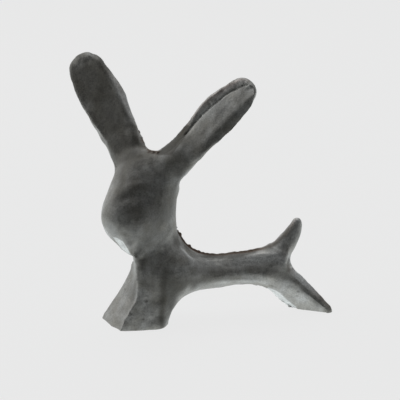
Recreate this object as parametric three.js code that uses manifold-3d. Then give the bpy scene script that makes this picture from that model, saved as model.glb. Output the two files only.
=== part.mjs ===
// Cast iron rabbit figurine, a solid casting about 100 mm tall.
// Millimetres and degrees. +Z is up, and +X runs from the forelegs to the tail along the body's middle plane.
// The rabbit's left side is -Y. The origin is on the ground, in the middle of the forelegs' foot.
//
// The real figurine is one casting. Its surface is made here as one smooth form, blended from simple bodies,
// and flat seams part it into head, ears, torso, forelegs, hind legs and tail.

import * as THREE from 'three';
import { mergeVertices } from 'three/addons/utils/BufferGeometryUtils.js';
import Module from 'manifold-3d';

// Forelegs: both legs in one squarish column that leans back and narrows from its foot to the shoulders
const FOOT_LENGTH = 24.5;
const FOOT_WIDTH = 22;
const SHOULDER_LENGTH = 15.5;
const SHOULDER_WIDTH = 15;
const SHOULDER_HEIGHT = 26;
const SHOULDER_SETBACK = 11;
const FORELEG_SQUARENESS = 3.2;

// Neck, from the shoulders up into the skull
const NECK_BASE_RADIUS = 9;
const NECK_TOP_RADIUS = 10;

// Torso: a bar that narrows from the chest to the waist and swells again at the rump
const TORSO_LENGTH = 45;
const TORSO_HEIGHT = 18.5;
const CHEST_DEPTH = 16.5;
const WAIST_DEPTH = 13;
const RUMP_DEPTH = 14.5;
const WAIST_SETBACK = 30;
const TORSO_WIDTH_TO_DEPTH_RATIO = 1.08;

// Head, turned to the rabbit's left and tipped to the same side
const HEAD_TURN_ANGLE = 39;
const HEAD_ROLL_ANGLE = 2;
const SKULL_SETBACK = 4;
const SKULL_HEIGHT = 51.5;
const SKULL_WIDTH = 24.5;
const SKULL_LENGTH = 26;
const SKULL_TALLNESS = 34;
const MUZZLE_FORWARD = 9.5;
const MUZZLE_DROP = 7;
const MUZZLE_WIDTH = 21;
const MUZZLE_LENGTH = 21;
const MUZZLE_TALLNESS = 24;

// Ears: each stands on the skull, spreads sideways, leans back and has a scoop in its front
const EAR_LENGTH = 51;
const EAR_ROOT_WIDTH = 14;
const EAR_FULL_WIDTH = 17.5;
const EAR_FULLEST_UP = 30;
const EAR_TIP_WIDTH = 15;
const EAR_ROOT_THICKNESS = 10;
const EAR_THICKNESS = 5;
const EAR_ROOTS_APART = 14.5;
const EAR_ROOT_UP = 11;
const EAR_ROOT_BACK = 2;
const EAR_SPREAD_ANGLE = 43;
const EAR_LEAN_ANGLE = 10;
const EAR_BEND = 4;
const LEFT_EAR_TWIST_ANGLE = 16;
const RIGHT_EAR_TWIST_ANGLE = 32;
const SCOOP_START = 14;
const SCOOP_DEPTH = 2;
const SCOOP_RIM = 2;

// Tail, on top of the rump's end
const TAIL_LENGTH = 15.6;
const TAIL_ROOT_RADIUS = 5.2;
const TAIL_TIP_RADIUS = 2.1;
const TAIL_TILT_ANGLE = 24;
const TAIL_SETBACK = 2.2;

// Hind legs: two bent plates that spread from the rump back to the ground, each creased from rump to tip
const HIND_THICKNESS = 4;
const HIND_REACH = 21;
const HIND_SPREAD = 17;
const HIND_INNER_REACH = 11;
const HIND_INNER_SPREAD = 3;
const HIND_TIP_UP = 0.5;
const CREASE_AHEAD = 3.5;
const CREASE_SPREAD = 8;
const CREASE_DROP = 4.5;
const HIND_TOP_SETBACK = 3;
const HIND_TOP_UP = 2.5;

// Widths over which two bodies are rounded into each other
const COLUMN_BLEND = 6;
const NAPE_BLEND = 12;
const LIMB_BLEND = 4;
const SCOOP_BLEND = 2;
const CREASE_BLEND = 1;

// Seams: where each one lies and how it tilts, and the gap that it leaves between two pieces
const SEAM_GAP = 0.3;
const NECK_SEAM_UP = 5;
const NECK_SEAM_ANGLE = 25;
const SHOULDER_SEAM_DROP = 2;
const SHOULDER_SEAM_ANGLE = 40;
const HIND_SEAM_DROP = 3;
const HIND_SEAM_ANGLE = 35;
const EAR_SEAM_UP = 5;
const TAIL_SEAM_UP = 3;

// The size of the facets, and how far the form runs on below the ground before it is cut flat
const BODY_FACET = 2.2;
const EAR_FACET = 1.7;
const LIMB_FACET = 1.6;
const SUNK = 3;

// How near to a cut's plane a corner of a facet may lie
const CUT_CLEARANCE = 0.05;

const wasm = await Module();
wasm.setup();

const QUARTER_TURN = 90;
const DOWN_ANGLE = 180;

const { clamp, degToRad, lerp, smoothstep } = THREE.MathUtils;
const point = (x, y, z) => new THREE.Vector3(x, y, z);
const moved = (x, y, z) => new THREE.Matrix4().makeTranslation(x, y, z);
const turnedX = (degrees) => new THREE.Matrix4().makeRotationX(degToRad(degrees));
const turnedY = (degrees) => new THREE.Matrix4().makeRotationY(degToRad(degrees));
const turnedZ = (degrees) => new THREE.Matrix4().makeRotationZ(degToRad(degrees));
const framed = (...steps) => steps.reduce((frame, step) => frame.multiply(step), new THREE.Matrix4());

// Fields. Each is a function that gives a point's distance to a body, and it is negative inside the body.

// A rod between two points, whose radius is a function of the share of the way
function rod(start, end, radiusAt) {
  const axis = new THREE.Line3(start, end);
  const nearest = new THREE.Vector3();
  return (p) => {
    const share = axis.closestPointToPointParameter(p, true);
    return p.distanceTo(axis.at(share, nearest)) - radiusAt(share);
  };
}

// An ellipsoid about a centre, with full sizes along the axes
function egg(centre, sizes) {
  const radii = sizes.clone().multiplyScalar(0.5);
  const q = new THREE.Vector3();
  return (p) => {
    q.copy(p).sub(centre).divide(radii);
    const share = q.length();
    const slope = q.divide(radii).length();
    return slope > 0 ? (share * (share - 1)) / slope : -Math.min(...radii);
  };
}

// A flat plate with round edges, spanned by three corners
function plate(a, b, c, thickness) {
  const triangle = new THREE.Triangle(a, b, c);
  const nearest = new THREE.Vector3();
  return (p) => p.distanceTo(triangle.closestPointToPoint(p, nearest)) - thickness / 2;
}

// A body seen in a frame of its own
function placed(body, frame) {
  const inverse = frame.clone().invert();
  const q = new THREE.Vector3();
  return (p) => body(q.copy(p).applyMatrix4(inverse));
}

// The smaller of two distances, rounded off over a width where they are alike
function roundMin(a, b, width) {
  const overlap = Math.max(width - Math.abs(a - b), 0) / width;
  return Math.min(a, b) - (overlap * overlap * width) / 4;
}

// Bodies rounded into each other over a width
function joined(width, ...bodies) {
  return (p) => bodies.map((body) => body(p)).reduce((a, b) => roundMin(a, b, width));
}

// Both forelegs: a column whose section is a square with round corners
function forelegs() {
  return (p) => {
    const share = clamp(p.z / SHOULDER_HEIGHT, -SUNK / SHOULDER_HEIGHT, 1);
    const halfLength = lerp(FOOT_LENGTH, SHOULDER_LENGTH, share) / 2;
    const halfWidth = lerp(FOOT_WIDTH, SHOULDER_WIDTH, share) / 2;
    const along = Math.abs(p.x - SHOULDER_SETBACK * share) / halfLength;
    const across = Math.abs(p.y) / halfWidth;
    const reach = (along ** FORELEG_SQUARENESS + across ** FORELEG_SQUARENESS) ** (1 / FORELEG_SQUARENESS);
    const side = (reach - 1) * Math.min(halfLength, halfWidth);
    const roundTop = -roundMin(-side, SHOULDER_HEIGHT - p.z, COLUMN_BLEND);
    return Math.max(roundTop, -SUNK - p.z);
  };
}

const rump = point(SHOULDER_SETBACK + TORSO_LENGTH, 0, TORSO_HEIGHT);

// The bar of the torso, a little wider than it is deep
function torso() {
  const waist = WAIST_SETBACK / TORSO_LENGTH;
  const radiusAt = (share) => {
    const ofChest = 1 - smoothstep(share, 0, waist);
    const ofRump = smoothstep(share, waist, 1);
    return (WAIST_DEPTH + (CHEST_DEPTH - WAIST_DEPTH) * ofChest + (RUMP_DEPTH - WAIST_DEPTH) * ofRump) / 2;
  };
  const bar = rod(point(SHOULDER_SETBACK, 0, TORSO_HEIGHT), rump, radiusAt);
  const q = new THREE.Vector3();
  return (p) => bar(q.set(p.x, p.y / TORSO_WIDTH_TO_DEPTH_RATIO, p.z));
}

function neck() {
  const bottom = point(SHOULDER_SETBACK, 0, SHOULDER_HEIGHT - NECK_BASE_RADIUS / 4);
  const top = point(SKULL_SETBACK, 0, SKULL_HEIGHT);
  return rod(bottom, top, (share) => lerp(NECK_BASE_RADIUS, NECK_TOP_RADIUS, share));
}

// The head's frame: x runs to the rabbit's left, y to the back and z up, from the middle of the skull
const headFrame = framed(
  moved(SKULL_SETBACK, 0, SKULL_HEIGHT),
  turnedZ(HEAD_TURN_ANGLE - QUARTER_TURN),
  turnedY(HEAD_ROLL_ANGLE)
);

function skull() {
  const cranium = egg(point(0, 0, 0), point(SKULL_WIDTH, SKULL_LENGTH, SKULL_TALLNESS));
  const muzzleCentre = point(0, -MUZZLE_FORWARD, -MUZZLE_DROP);
  const muzzle = egg(muzzleCentre, point(MUZZLE_WIDTH, MUZZLE_LENGTH, MUZZLE_TALLNESS));
  return placed(joined(COLUMN_BLEND, cranium, muzzle), headFrame);
}

// An ear's frame: x runs across the ear, y from its front to its back and z from its root to its tip.
// The side is 1 for the rabbit's left ear and -1 for its right ear.
function earFrame(side) {
  const root = moved((side * EAR_ROOTS_APART) / 2, EAR_ROOT_BACK, EAR_ROOT_UP);
  const twist = side > 0 ? -LEFT_EAR_TWIST_ANGLE : RIGHT_EAR_TWIST_ANGLE;
  return framed(headFrame, root, turnedY(side * EAR_SPREAD_ANGLE), turnedX(-EAR_LEAN_ANGLE), turnedZ(twist));
}

// How far a point of the ear's plane lies outside the ear's outline, drawn in by an inset
function earOutline(x, z, inset) {
  const tipCentre = EAR_LENGTH - EAR_TIP_WIDTH / 2;
  const toTip = smoothstep(z, EAR_FULLEST_UP, tipCentre);
  const toRoot = 1 - smoothstep(z, 0, EAR_FULLEST_UP);
  const width = lerp(lerp(EAR_FULL_WIDTH, EAR_TIP_WIDTH, toTip), EAR_ROOT_WIDTH, toRoot);
  const beyond = Math.max(z - tipCentre, -z, 0);
  return Math.max(Math.hypot(x, beyond) - (width / 2 - inset), 0);
}

// One ear in its own frame: a round-edged plate with a scoop in its front
function ear() {
  return (p) => {
    const share = clamp(p.z / EAR_LENGTH, 0, 1);
    const half = lerp(EAR_THICKNESS, EAR_ROOT_THICKNESS, 1 - smoothstep(p.z, 0, EAR_FULLEST_UP)) / 2;
    const y = p.y + EAR_BEND * (share - share * share);
    const body = Math.hypot(earOutline(p.x, p.z, half), y) - half;
    const beforeScoop = Math.max(SCOOP_START - p.z, 0);
    const outsideScoop = earOutline(p.x, p.z, SCOOP_RIM + SCOOP_DEPTH);
    const scoop = Math.hypot(outsideScoop, y + half, beforeScoop) - SCOOP_DEPTH;
    return -roundMin(-body, scoop, SCOOP_BLEND);
  };
}

// The tail's direction lies in the middle plane, tilted back from upright
const tailDirection = point(0, 0, 1).applyMatrix4(turnedY(TAIL_TILT_ANGLE));
const tailRoot = point(rump.x + TAIL_SETBACK, 0, TORSO_HEIGHT).addScaledVector(tailDirection, RUMP_DEPTH / 4);
const tailTip = tailRoot.clone().addScaledVector(tailDirection, TAIL_LENGTH);

function tail() {
  return rod(tailRoot, tailTip, (share) => lerp(TAIL_ROOT_RADIUS, TAIL_TIP_RADIUS, share));
}

// The corners of a hind leg's two plates: side is 1 for the rabbit's left leg and -1 for its right one
function hindCorners(side) {
  return {
    crease: point(rump.x - CREASE_AHEAD, (-side * CREASE_SPREAD) / 2, TORSO_HEIGHT - CREASE_DROP),
    top: point(rump.x + HIND_TOP_SETBACK, (-side * HIND_INNER_SPREAD) / 2, TORSO_HEIGHT + HIND_TOP_UP),
    inner: point(rump.x + HIND_INNER_REACH, (-side * HIND_INNER_SPREAD) / 2, 0),
    tip: point(rump.x + HIND_REACH, (-side * HIND_SPREAD) / 2, HIND_TIP_UP),
  };
}

function hindLeg(side) {
  const { crease, top, inner, tip } = hindCorners(side);
  const lower = plate(crease, inner, tip, HIND_THICKNESS);
  const upper = plate(crease, top, tip, HIND_THICKNESS);
  return joined(CREASE_BLEND, lower, upper);
}

const column = joined(COLUMN_BLEND, forelegs(), neck(), skull());
const bodyForm = joined(NAPE_BLEND, column, torso());
const rearForm = joined(LIMB_BLEND, tail(), hindLeg(1), hindLeg(-1));
const earForm = joined(LIMB_BLEND, placed(ear(), earFrame(1)), placed(ear(), earFrame(-1)));
const rabbit = joined(LIMB_BLEND, bodyForm, rearForm, earForm);

// The clump of the corners that lie outside
const OUTSIDE = -1;

// Wraps the part of a field that lies in a box of some frame in a closed mesh. Each cell that the surface
// crosses holds a vertex, which then slides along the field's slope onto the surface.
function wrap(field, frame, box, cell) {
  const world = new THREE.Vector3();
  const beyond = (q, axis) => Math.max(box.min[axis] - q[axis], q[axis] - box.max[axis]);
  const outside = (q) => Math.max(beyond(q, 'x'), beyond(q, 'y'), beyond(q, 'z'));
  const bounded = (q) => Math.max(field(world.copy(q).applyMatrix4(frame)), outside(q));

  const room = box.clone().expandByScalar(2 * cell);
  const [nx, ny, nz] = room.getSize(point(0, 0, 0)).divideScalar(cell).ceil().addScalar(1).toArray();
  const steps = [1, nx, nx * ny];
  const total = nx * ny * nz;
  const place = (i) => {
    const cells = point(i % nx, Math.floor(i / nx) % ny, Math.floor(i / steps[2]));
    return cells.multiplyScalar(cell).add(room.min);
  };
  const level = Float32Array.from({ length: total }, (_, i) => bounded(place(i)));

  // A cell is known by its lowest corner; each of its twelve edges joins two corners along one axis
  const corners = [];
  for (const z of [0, 1]) for (const y of [0, 1]) for (const x of [0, 1]) corners.push(point(x, y, z));
  const stepTo = corners.map((c) => c.x * steps[0] + c.y * steps[1] + c.z * steps[2]);
  const edges = corners.flatMap((_, c) => [1, 2, 4].filter((bit) => !(c & bit)).map((bit) => [c, c + bit]));

  // Corners inside the form that edges join are one clump. Each clump has its own vertex, the middle of the
  // crossings around it, so that two sheets of the surface in one cell stay apart.
  const vertexOf = new Int32Array(8 * total).fill(-1);
  const vertices = [];
  for (let i = 0; i < total - stepTo[7]; i++) {
    const levels = stepTo.map((step) => level[i + step]);
    const crossed = edges.filter(([a, b]) => levels[a] < 0 !== levels[b] < 0);
    if (!crossed.length) continue;
    const clumps = clumpsOf(levels, edges);
    for (const clump of new Set(clumps.filter((name) => name !== OUTSIDE))) {
      const around = crossed.filter(([a, b]) => clumps[a] === clump || clumps[b] === clump);
      const middle = point(0, 0, 0);
      for (const [a, b] of around) {
        const crossing = corners[a].clone().lerp(corners[b], levels[a] / (levels[a] - levels[b]));
        middle.addScaledVector(crossing, 1 / around.length);
      }
      for (const corner of corners.keys()) {
        if (clumps[corner] === clump) vertexOf[8 * i + corner] = vertices.length;
      }
      vertices.push(middle.multiplyScalar(cell).add(place(i)));
    }
  }
  for (const vertex of vertices) settle(bounded, vertex, cell / 2);

  // An edge that the surface crosses is ringed by four cells, whose vertices make two triangles
  const faces = [];
  for (let i = 0; i < total - stepTo[7]; i++) {
    for (let axis = 0; axis < 3; axis++) {
      if (level[i] < 0 === level[i + steps[axis]] < 0) continue;
      const inner = level[i] < 0 ? 0 : 1 << axis;
      const u = 1 << ((axis + 1) % 3);
      const v = 1 << ((axis + 2) % 3);
      const ring = [u + v, v, 0, u].map((corner) => vertexOf[8 * (i - stepTo[corner]) + corner + inner]);
      if (level[i] >= 0) ring.reverse();
      const [a, b, c, d] = ring;
      const acrossAC = vertices[a].distanceTo(vertices[c]) < vertices[b].distanceTo(vertices[d]);
      faces.push(...(acrossAC ? [a, b, c, a, c, d] : [a, b, d, b, c, d]));
    }
  }
  return new THREE.BufferGeometry().setFromPoints(vertices).setIndex(faces).applyMatrix4(frame);
}

// The clump that each corner of a cell belongs to, named by its lowest corner
function clumpsOf(levels, edges) {
  const clumps = levels.map((level, corner) => (level < 0 ? corner : OUTSIDE));
  const inner = edges.filter(([a, b]) => levels[a] < 0 && levels[b] < 0);
  const unlike = () => inner.find(([a, b]) => clumps[a] !== clumps[b]);
  for (let edge = unlike(); edge; edge = unlike()) {
    const lowest = Math.min(clumps[edge[0]], clumps[edge[1]]);
    clumps[edge[0]] = lowest;
    clumps[edge[1]] = lowest;
  }
  return clumps;
}

// Moves a vertex along the field's slope towards the surface, in two steps of limited length
function settle(field, vertex, limit) {
  const reach = limit / 10;
  for (let round = 0; round < 2; round++) {
    const slope = new THREE.Vector3();
    for (const axis of ['x', 'y', 'z']) {
      const ahead = vertex.clone();
      const behind = vertex.clone();
      ahead[axis] += reach;
      behind[axis] -= reach;
      slope[axis] = (field(ahead) - field(behind)) / (2 * reach);
    }
    const step = slope.clone().multiplyScalar(-field(vertex) / Math.max(slope.lengthSq(), Number.EPSILON));
    vertex.add(step.clampLength(0, limit));
  }
}

// A closed geometry as a solid that can be cut and joined
function solidOf(geometry) {
  const bare = geometry.clone();
  for (const name of ['normal', 'uv']) bare.deleteAttribute(name);
  const merged = mergeVertices(bare, 1e-4);
  const vertProperties = merged.getAttribute('position').array;
  const triVerts = new Uint32Array(merged.index.array);
  return new wasm.Manifold(new wasm.Mesh({ numProp: 3, vertProperties, triVerts }));
}

// The whole figurine's box, from the points that reach furthest
const furthest = [1, -1].flatMap((side) => [
  point(0, 0, EAR_LENGTH).applyMatrix4(earFrame(side)),
  point(0, -MUZZLE_FORWARD - MUZZLE_LENGTH / 2, -SKULL_TALLNESS / 2).applyMatrix4(headFrame),
  point((-side * FOOT_LENGTH) / 2, (side * FOOT_WIDTH) / 2, -SUNK),
  hindCorners(side).tip,
  tailTip,
]);
const whole = new THREE.Box3().setFromPoints(furthest).expandByScalar(EAR_FULL_WIDTH / 2);
const rear = whole.clone();
rear.min.x = rump.x - CHEST_DEPTH;
const upright = new THREE.Matrix4();

// A seam: the frame whose z leaves its plane towards the piece beyond it, and the reach of that piece
const wide = whole.getSize(point(0, 0, 0)).length();
function seamAcross(x, z, tilt, size) {
  return { frame: framed(moved(x, 0, z), turnedY(tilt)), half: size, reach: size };
}
const shoulderSeamHeight = TORSO_HEIGHT - SHOULDER_SEAM_DROP;
const seams = {
  leftEar: earSeam(1),
  rightEar: earSeam(-1),
  neck: seamAcross(SHOULDER_SETBACK, SHOULDER_HEIGHT + NECK_SEAM_UP, -NECK_SEAM_ANGLE, wide),
  tail: seamAcross(tailRoot.x, tailRoot.z + TAIL_SEAM_UP, TAIL_TILT_ANGLE, TAIL_LENGTH),
  hindLegs: seamAcross(rump.x, TORSO_HEIGHT - HIND_SEAM_DROP, DOWN_ANGLE - HIND_SEAM_ANGLE, wide),
  forelegs: seamAcross(SHOULDER_SETBACK, shoulderSeamHeight, DOWN_ANGLE + SHOULDER_SEAM_ANGLE, wide),
  middle: { frame: turnedX(QUARTER_TURN), half: wide, reach: wide },
};
const ground = { frame: turnedX(DOWN_ANGLE), half: wide, reach: wide };

function earSeam(side) {
  const frame = framed(earFrame(side), moved(0, 0, EAR_SEAM_UP));
  return { frame, half: EAR_FULL_WIDTH / 2 + LIMB_BLEND, reach: EAR_LENGTH };
}

// The planes in which a seam's two faces lie, and the ground
const cutPlane = (frame, start) => new THREE.Plane(point(0, 0, 1), -start).applyMatrix4(frame);
const seamPlanes = ({ frame }) => [cutPlane(frame, -SEAM_GAP / 2), cutPlane(frame, SEAM_GAP / 2)];
const cutPlanes = [cutPlane(ground.frame, 0), ...Object.values(seams).flatMap(seamPlanes)];

// Moves each corner that lies almost in a cut's plane clear of it, because a cut there would leave slivers
function clearOfCuts(geometry) {
  const position = geometry.getAttribute('position');
  const corner = point(0, 0, 0);
  for (let i = 0; i < position.count; i++) {
    corner.fromBufferAttribute(position, i);
    for (const plane of cutPlanes) {
      const distance = plane.distanceToPoint(corner);
      if (Math.abs(distance) >= CUT_CLEARANCE) continue;
      corner.addScaledVector(plane.normal, (distance < 0 ? -CUT_CLEARANCE : CUT_CLEARANCE) - distance);
    }
    position.setXYZ(i, corner.x, corner.y, corner.z);
  }
  return geometry;
}

function blockBeyond({ frame, half, reach }, start) {
  const block = new THREE.BoxGeometry(2 * half, 2 * half, reach).translate(0, 0, reach / 2 + start);
  return solidOf(block.applyMatrix4(frame));
}

const beyond = (solid, seam) => solid.intersect(blockBeyond(seam, SEAM_GAP / 2));
const without = (solid, seam) => solid.subtract(blockBeyond(seam, -SEAM_GAP / 2));

const casting = (frame, box, facet) => solidOf(clearOfCuts(wrap(rabbit, frame, box, facet)));

// The form is wrapped three ways: coarsely for the body, and finely for the rear limbs and, along their own
// axes, for the ears
const bodyCasting = casting(upright, whole, BODY_FACET).subtract(blockBeyond(ground, 0));
const rearCasting = casting(upright, rear, LIMB_FACET).subtract(blockBeyond(ground, 0));

function earCasting(side) {
  const half = EAR_FULL_WIDTH / 2 + LIMB_BLEND;
  const box = new THREE.Box3(point(-half, -half, 0), point(half, half, EAR_LENGTH + EAR_THICKNESS));
  return casting(earFrame(side), box, EAR_FACET);
}

const headAndBody = without(without(bodyCasting, seams.leftEar), seams.rightEar);
const body = without(headAndBody, seams.neck);
const hindLegs = without(beyond(rearCasting, seams.hindLegs), seams.tail);

const pieces = {
  head: beyond(headAndBody, seams.neck),
  left_ear: beyond(earCasting(1), seams.leftEar),
  right_ear: beyond(earCasting(-1), seams.rightEar),
  torso: without(without(without(body, seams.tail), seams.hindLegs), seams.forelegs),
  forelegs: beyond(without(body, seams.hindLegs), seams.forelegs),
  left_hind_leg: beyond(hindLegs, seams.middle),
  right_hind_leg: without(hindLegs, seams.middle),
  tail: beyond(rearCasting, seams.tail),
};

// Semi-gloss dark iron, a little browner where the casting is rough
const IRON = { roughness: 0.45, metalness: 0.6 };
const COLOURS = {
  head: 0x4a4b4a,
  left_ear: 0x4c4c49,
  right_ear: 0x494947,
  torso: 0x4b4c4b,
  forelegs: 0x4f504f,
  left_hind_leg: 0x4c4e4d,
  right_hind_leg: 0x4a4c4b,
  tail: 0x484745,
};

function meshOf(name, solid) {
  const { vertProperties, triVerts } = solid.getMesh();
  const geometry = new THREE.BufferGeometry();
  geometry.setAttribute('position', new THREE.BufferAttribute(vertProperties, 3));
  geometry.setIndex(new THREE.BufferAttribute(triVerts, 1));
  geometry.computeVertexNormals();
  const mesh = new THREE.Mesh(geometry, new THREE.MeshStandardMaterial({ ...IRON, color: COLOURS[name] }));
  mesh.name = name;
  return mesh;
}

const figurine = new THREE.Group();
for (const [name, solid] of Object.entries(pieces)) figurine.add(meshOf(name, solid));

export default figurine;
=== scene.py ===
"""The finished look of a cast iron rabbit, a small solid casting about 100 mm tall.

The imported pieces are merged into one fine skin, the skin is worked in the way that a pattern maker works
wax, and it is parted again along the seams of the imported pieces. Lengths are in metres, in the frame of
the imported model. The tools that work the skin, and the sizes of the parts that use them, are in millimetres,
and their places are pixels of the photograph.
"""

import logging
from dataclasses import dataclass
from enum import Enum
from math import cos, radians, sin

import bmesh
import bpy
import numpy as np
from mathutils import Matrix, Vector, noise
from mathutils.bvhtree import BVHTree


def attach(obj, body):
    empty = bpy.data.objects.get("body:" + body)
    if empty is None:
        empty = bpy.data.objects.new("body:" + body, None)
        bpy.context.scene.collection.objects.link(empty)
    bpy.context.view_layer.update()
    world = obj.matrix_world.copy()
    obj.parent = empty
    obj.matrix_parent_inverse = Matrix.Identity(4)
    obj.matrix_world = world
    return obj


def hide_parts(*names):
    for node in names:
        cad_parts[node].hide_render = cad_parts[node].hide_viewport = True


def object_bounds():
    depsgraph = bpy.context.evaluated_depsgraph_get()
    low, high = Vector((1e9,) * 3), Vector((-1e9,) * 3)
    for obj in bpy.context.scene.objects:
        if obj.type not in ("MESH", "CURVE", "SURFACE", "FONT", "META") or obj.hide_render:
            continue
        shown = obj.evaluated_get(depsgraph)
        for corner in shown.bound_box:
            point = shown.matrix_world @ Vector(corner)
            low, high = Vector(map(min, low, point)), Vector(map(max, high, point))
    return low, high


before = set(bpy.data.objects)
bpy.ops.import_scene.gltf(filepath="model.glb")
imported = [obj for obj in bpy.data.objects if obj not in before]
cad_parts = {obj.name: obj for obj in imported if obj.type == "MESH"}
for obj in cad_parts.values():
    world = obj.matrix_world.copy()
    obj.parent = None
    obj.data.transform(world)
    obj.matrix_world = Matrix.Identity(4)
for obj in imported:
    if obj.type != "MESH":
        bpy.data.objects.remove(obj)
CAD_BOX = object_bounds()

logging.basicConfig(level=logging.INFO, format="%(message)s")
log = logging.getLogger("rabbit")

MM = 0.001
UP = Vector((0, 0, 1))
Pixel = tuple[float, float]
Spot = tuple[Pixel, float, float]
Size = tuple[float, float, float]
SKIN_NORMAL = "skin_normal"
SEAM_FACE = "seam_face"


@dataclass(frozen=True)
class PhotoCamera:
    """The camera of the photograph. Angles are in degrees.

    Attributes:
        azimuth: Turn about Z from looking along +Y.
        elevation: Height of the camera above the level.
        distance: From the target to the camera.
        lens: Focal length in millimetres, for the sensor width.
        sensor: Sensor width in millimetres.
        picture: Width of the photograph in pixels.
        target: The point that the middle of the photograph shows.
    """

    azimuth: float = -15.0
    elevation: float = 15.0
    distance: float = 0.6
    lens: float = 138.5
    sensor: float = 36.0
    picture: int = 400
    target: Size = (0.0263, 0.0, 0.0475)

    def pixel_width(self) -> float:
        """The width that one pixel shows at the target."""
        return self.distance * self.sensor / self.lens / self.picture

    def towards(self) -> Vector:
        """The direction from the target to the camera."""
        a, e = radians(self.azimuth), radians(self.elevation)
        return Vector((sin(a) * cos(e), -cos(a) * cos(e), sin(e)))

    def right(self) -> Vector:
        """The direction that lies to the right in the photograph."""
        return UP.cross(self.towards()).normalized()

    def above(self) -> Vector:
        """The direction that lies upwards in the photograph."""
        return self.towards().cross(self.right())

    def location(self) -> Vector:
        """Where the camera stands."""
        return Vector(self.target) + self.towards() * self.distance

    def ray(self, pixel: Pixel) -> Vector:
        """The direction from the camera through a pixel.

        Args:
            pixel: Across and down in the photograph.

        Returns:
            A direction of length 1.
        """
        half = self.picture / 2
        step = self.sensor / self.lens / self.picture
        across = (pixel[0] - half) * step
        rise = (half - pixel[1]) * step
        return (self.right() * across + self.above() * rise - self.towards()).normalized()

    def pixels(self, points: np.ndarray) -> np.ndarray:
        """Where points show in the photograph, across and down, with one row a point.

        Args:
            points: Their places, with one row a point.

        Returns:
            Their pixels.
        """
        ahead = np.array(self.location()) - points
        depth = ahead @ np.array(self.towards())
        scale = self.lens / self.sensor * self.picture / depth
        across = self.picture / 2 - ahead @ np.array(self.right()) * scale
        down = self.picture / 2 + ahead @ np.array(self.above()) * scale
        return np.stack([across, down], axis=1)

    def build(self) -> None:
        """Makes the camera and gives it to the scene."""
        data = bpy.data.cameras.new("photo_camera")
        data.lens = self.lens
        data.sensor_width = self.sensor
        camera = bpy.data.objects.new("photo_camera", data)
        axes = Matrix((self.right(), self.above(), self.towards())).transposed()
        camera.matrix_world = Matrix.Translation(self.location()) @ axes.to_4x4()
        bpy.context.scene.collection.objects.link(camera)
        bpy.context.scene.camera = camera


PHOTO = PhotoCamera()


class Nodes:
    """A short way to write a node tree."""

    def __init__(self, tree: bpy.types.NodeTree) -> None:
        """Empties a tree to fill it again.

        Args:
            tree: The tree of a material, a world or a group.
        """
        self.tree = tree
        tree.nodes.clear()

    def add(self, kind: str, settings: dict | None = None, **sockets: object) -> bpy.types.Node:
        """Adds a node and sets its inputs.

        Args:
            kind: The node's type without the word ShaderNode.
            settings: The node's own properties.
            **sockets: A value, or an output to link, for each input. The underscores of a name stand for
                spaces, and a name such as in_1 means an input by its number.

        Returns:
            The new node.
        """
        prefix = "" if kind.startswith("NodeGroup") else "ShaderNode"
        node = self.tree.nodes.new(prefix + kind)
        for name, value in (settings or {}).items():
            setattr(node, name, value)
        for name, value in sockets.items():
            key = int(name[3:]) if name.startswith("in_") else name.replace("_", " ")
            if isinstance(value, bpy.types.NodeSocket):
                self.tree.links.new(value, node.inputs[key])
            else:
                node.inputs[key].default_value = value
        return node

    def math(self, operation: str, first: object, second: object = 0.0) -> bpy.types.NodeSocket:
        """The result of a Math node.

        Args:
            operation: The Math node's operation.
            first: A value or an output.
            second: A value or an output.

        Returns:
            The output.
        """
        return self.add("Math", {"operation": operation}, in_0=first, in_1=second).outputs[0]

    def mix(self, share: object, first: object, second: object) -> bpy.types.NodeSocket:
        """A colour between two colours.

        Args:
            share: How much of the second colour, from 0 to 1.
            first: A colour or an output.
            second: A colour or an output.

        Returns:
            The output.
        """
        node = self.add("Mix", {"data_type": "RGBA"}, Factor=share, in_6=first, in_7=second)
        return node.outputs[2]

    def spread(
        self, value: object, low: float, high: float, to_low: float = 0.0, to_high: float = 1.0
    ) -> bpy.types.NodeSocket:
        """A value stretched from one range to another, and held at its ends.

        Args:
            value: An output.
            low: Start of the range that comes in.
            high: End of the range that comes in.
            to_low: What low becomes.
            to_high: What high becomes.

        Returns:
            The output.
        """
        node = self.add("MapRange", None, in_0=value, in_1=low, in_2=high, in_3=to_low, in_4=to_high)
        return node.outputs[0]


def grey(level: float) -> tuple[float, float, float, float]:
    """A grey of that linear level."""
    return (level, level, level, 1.0)


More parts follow.
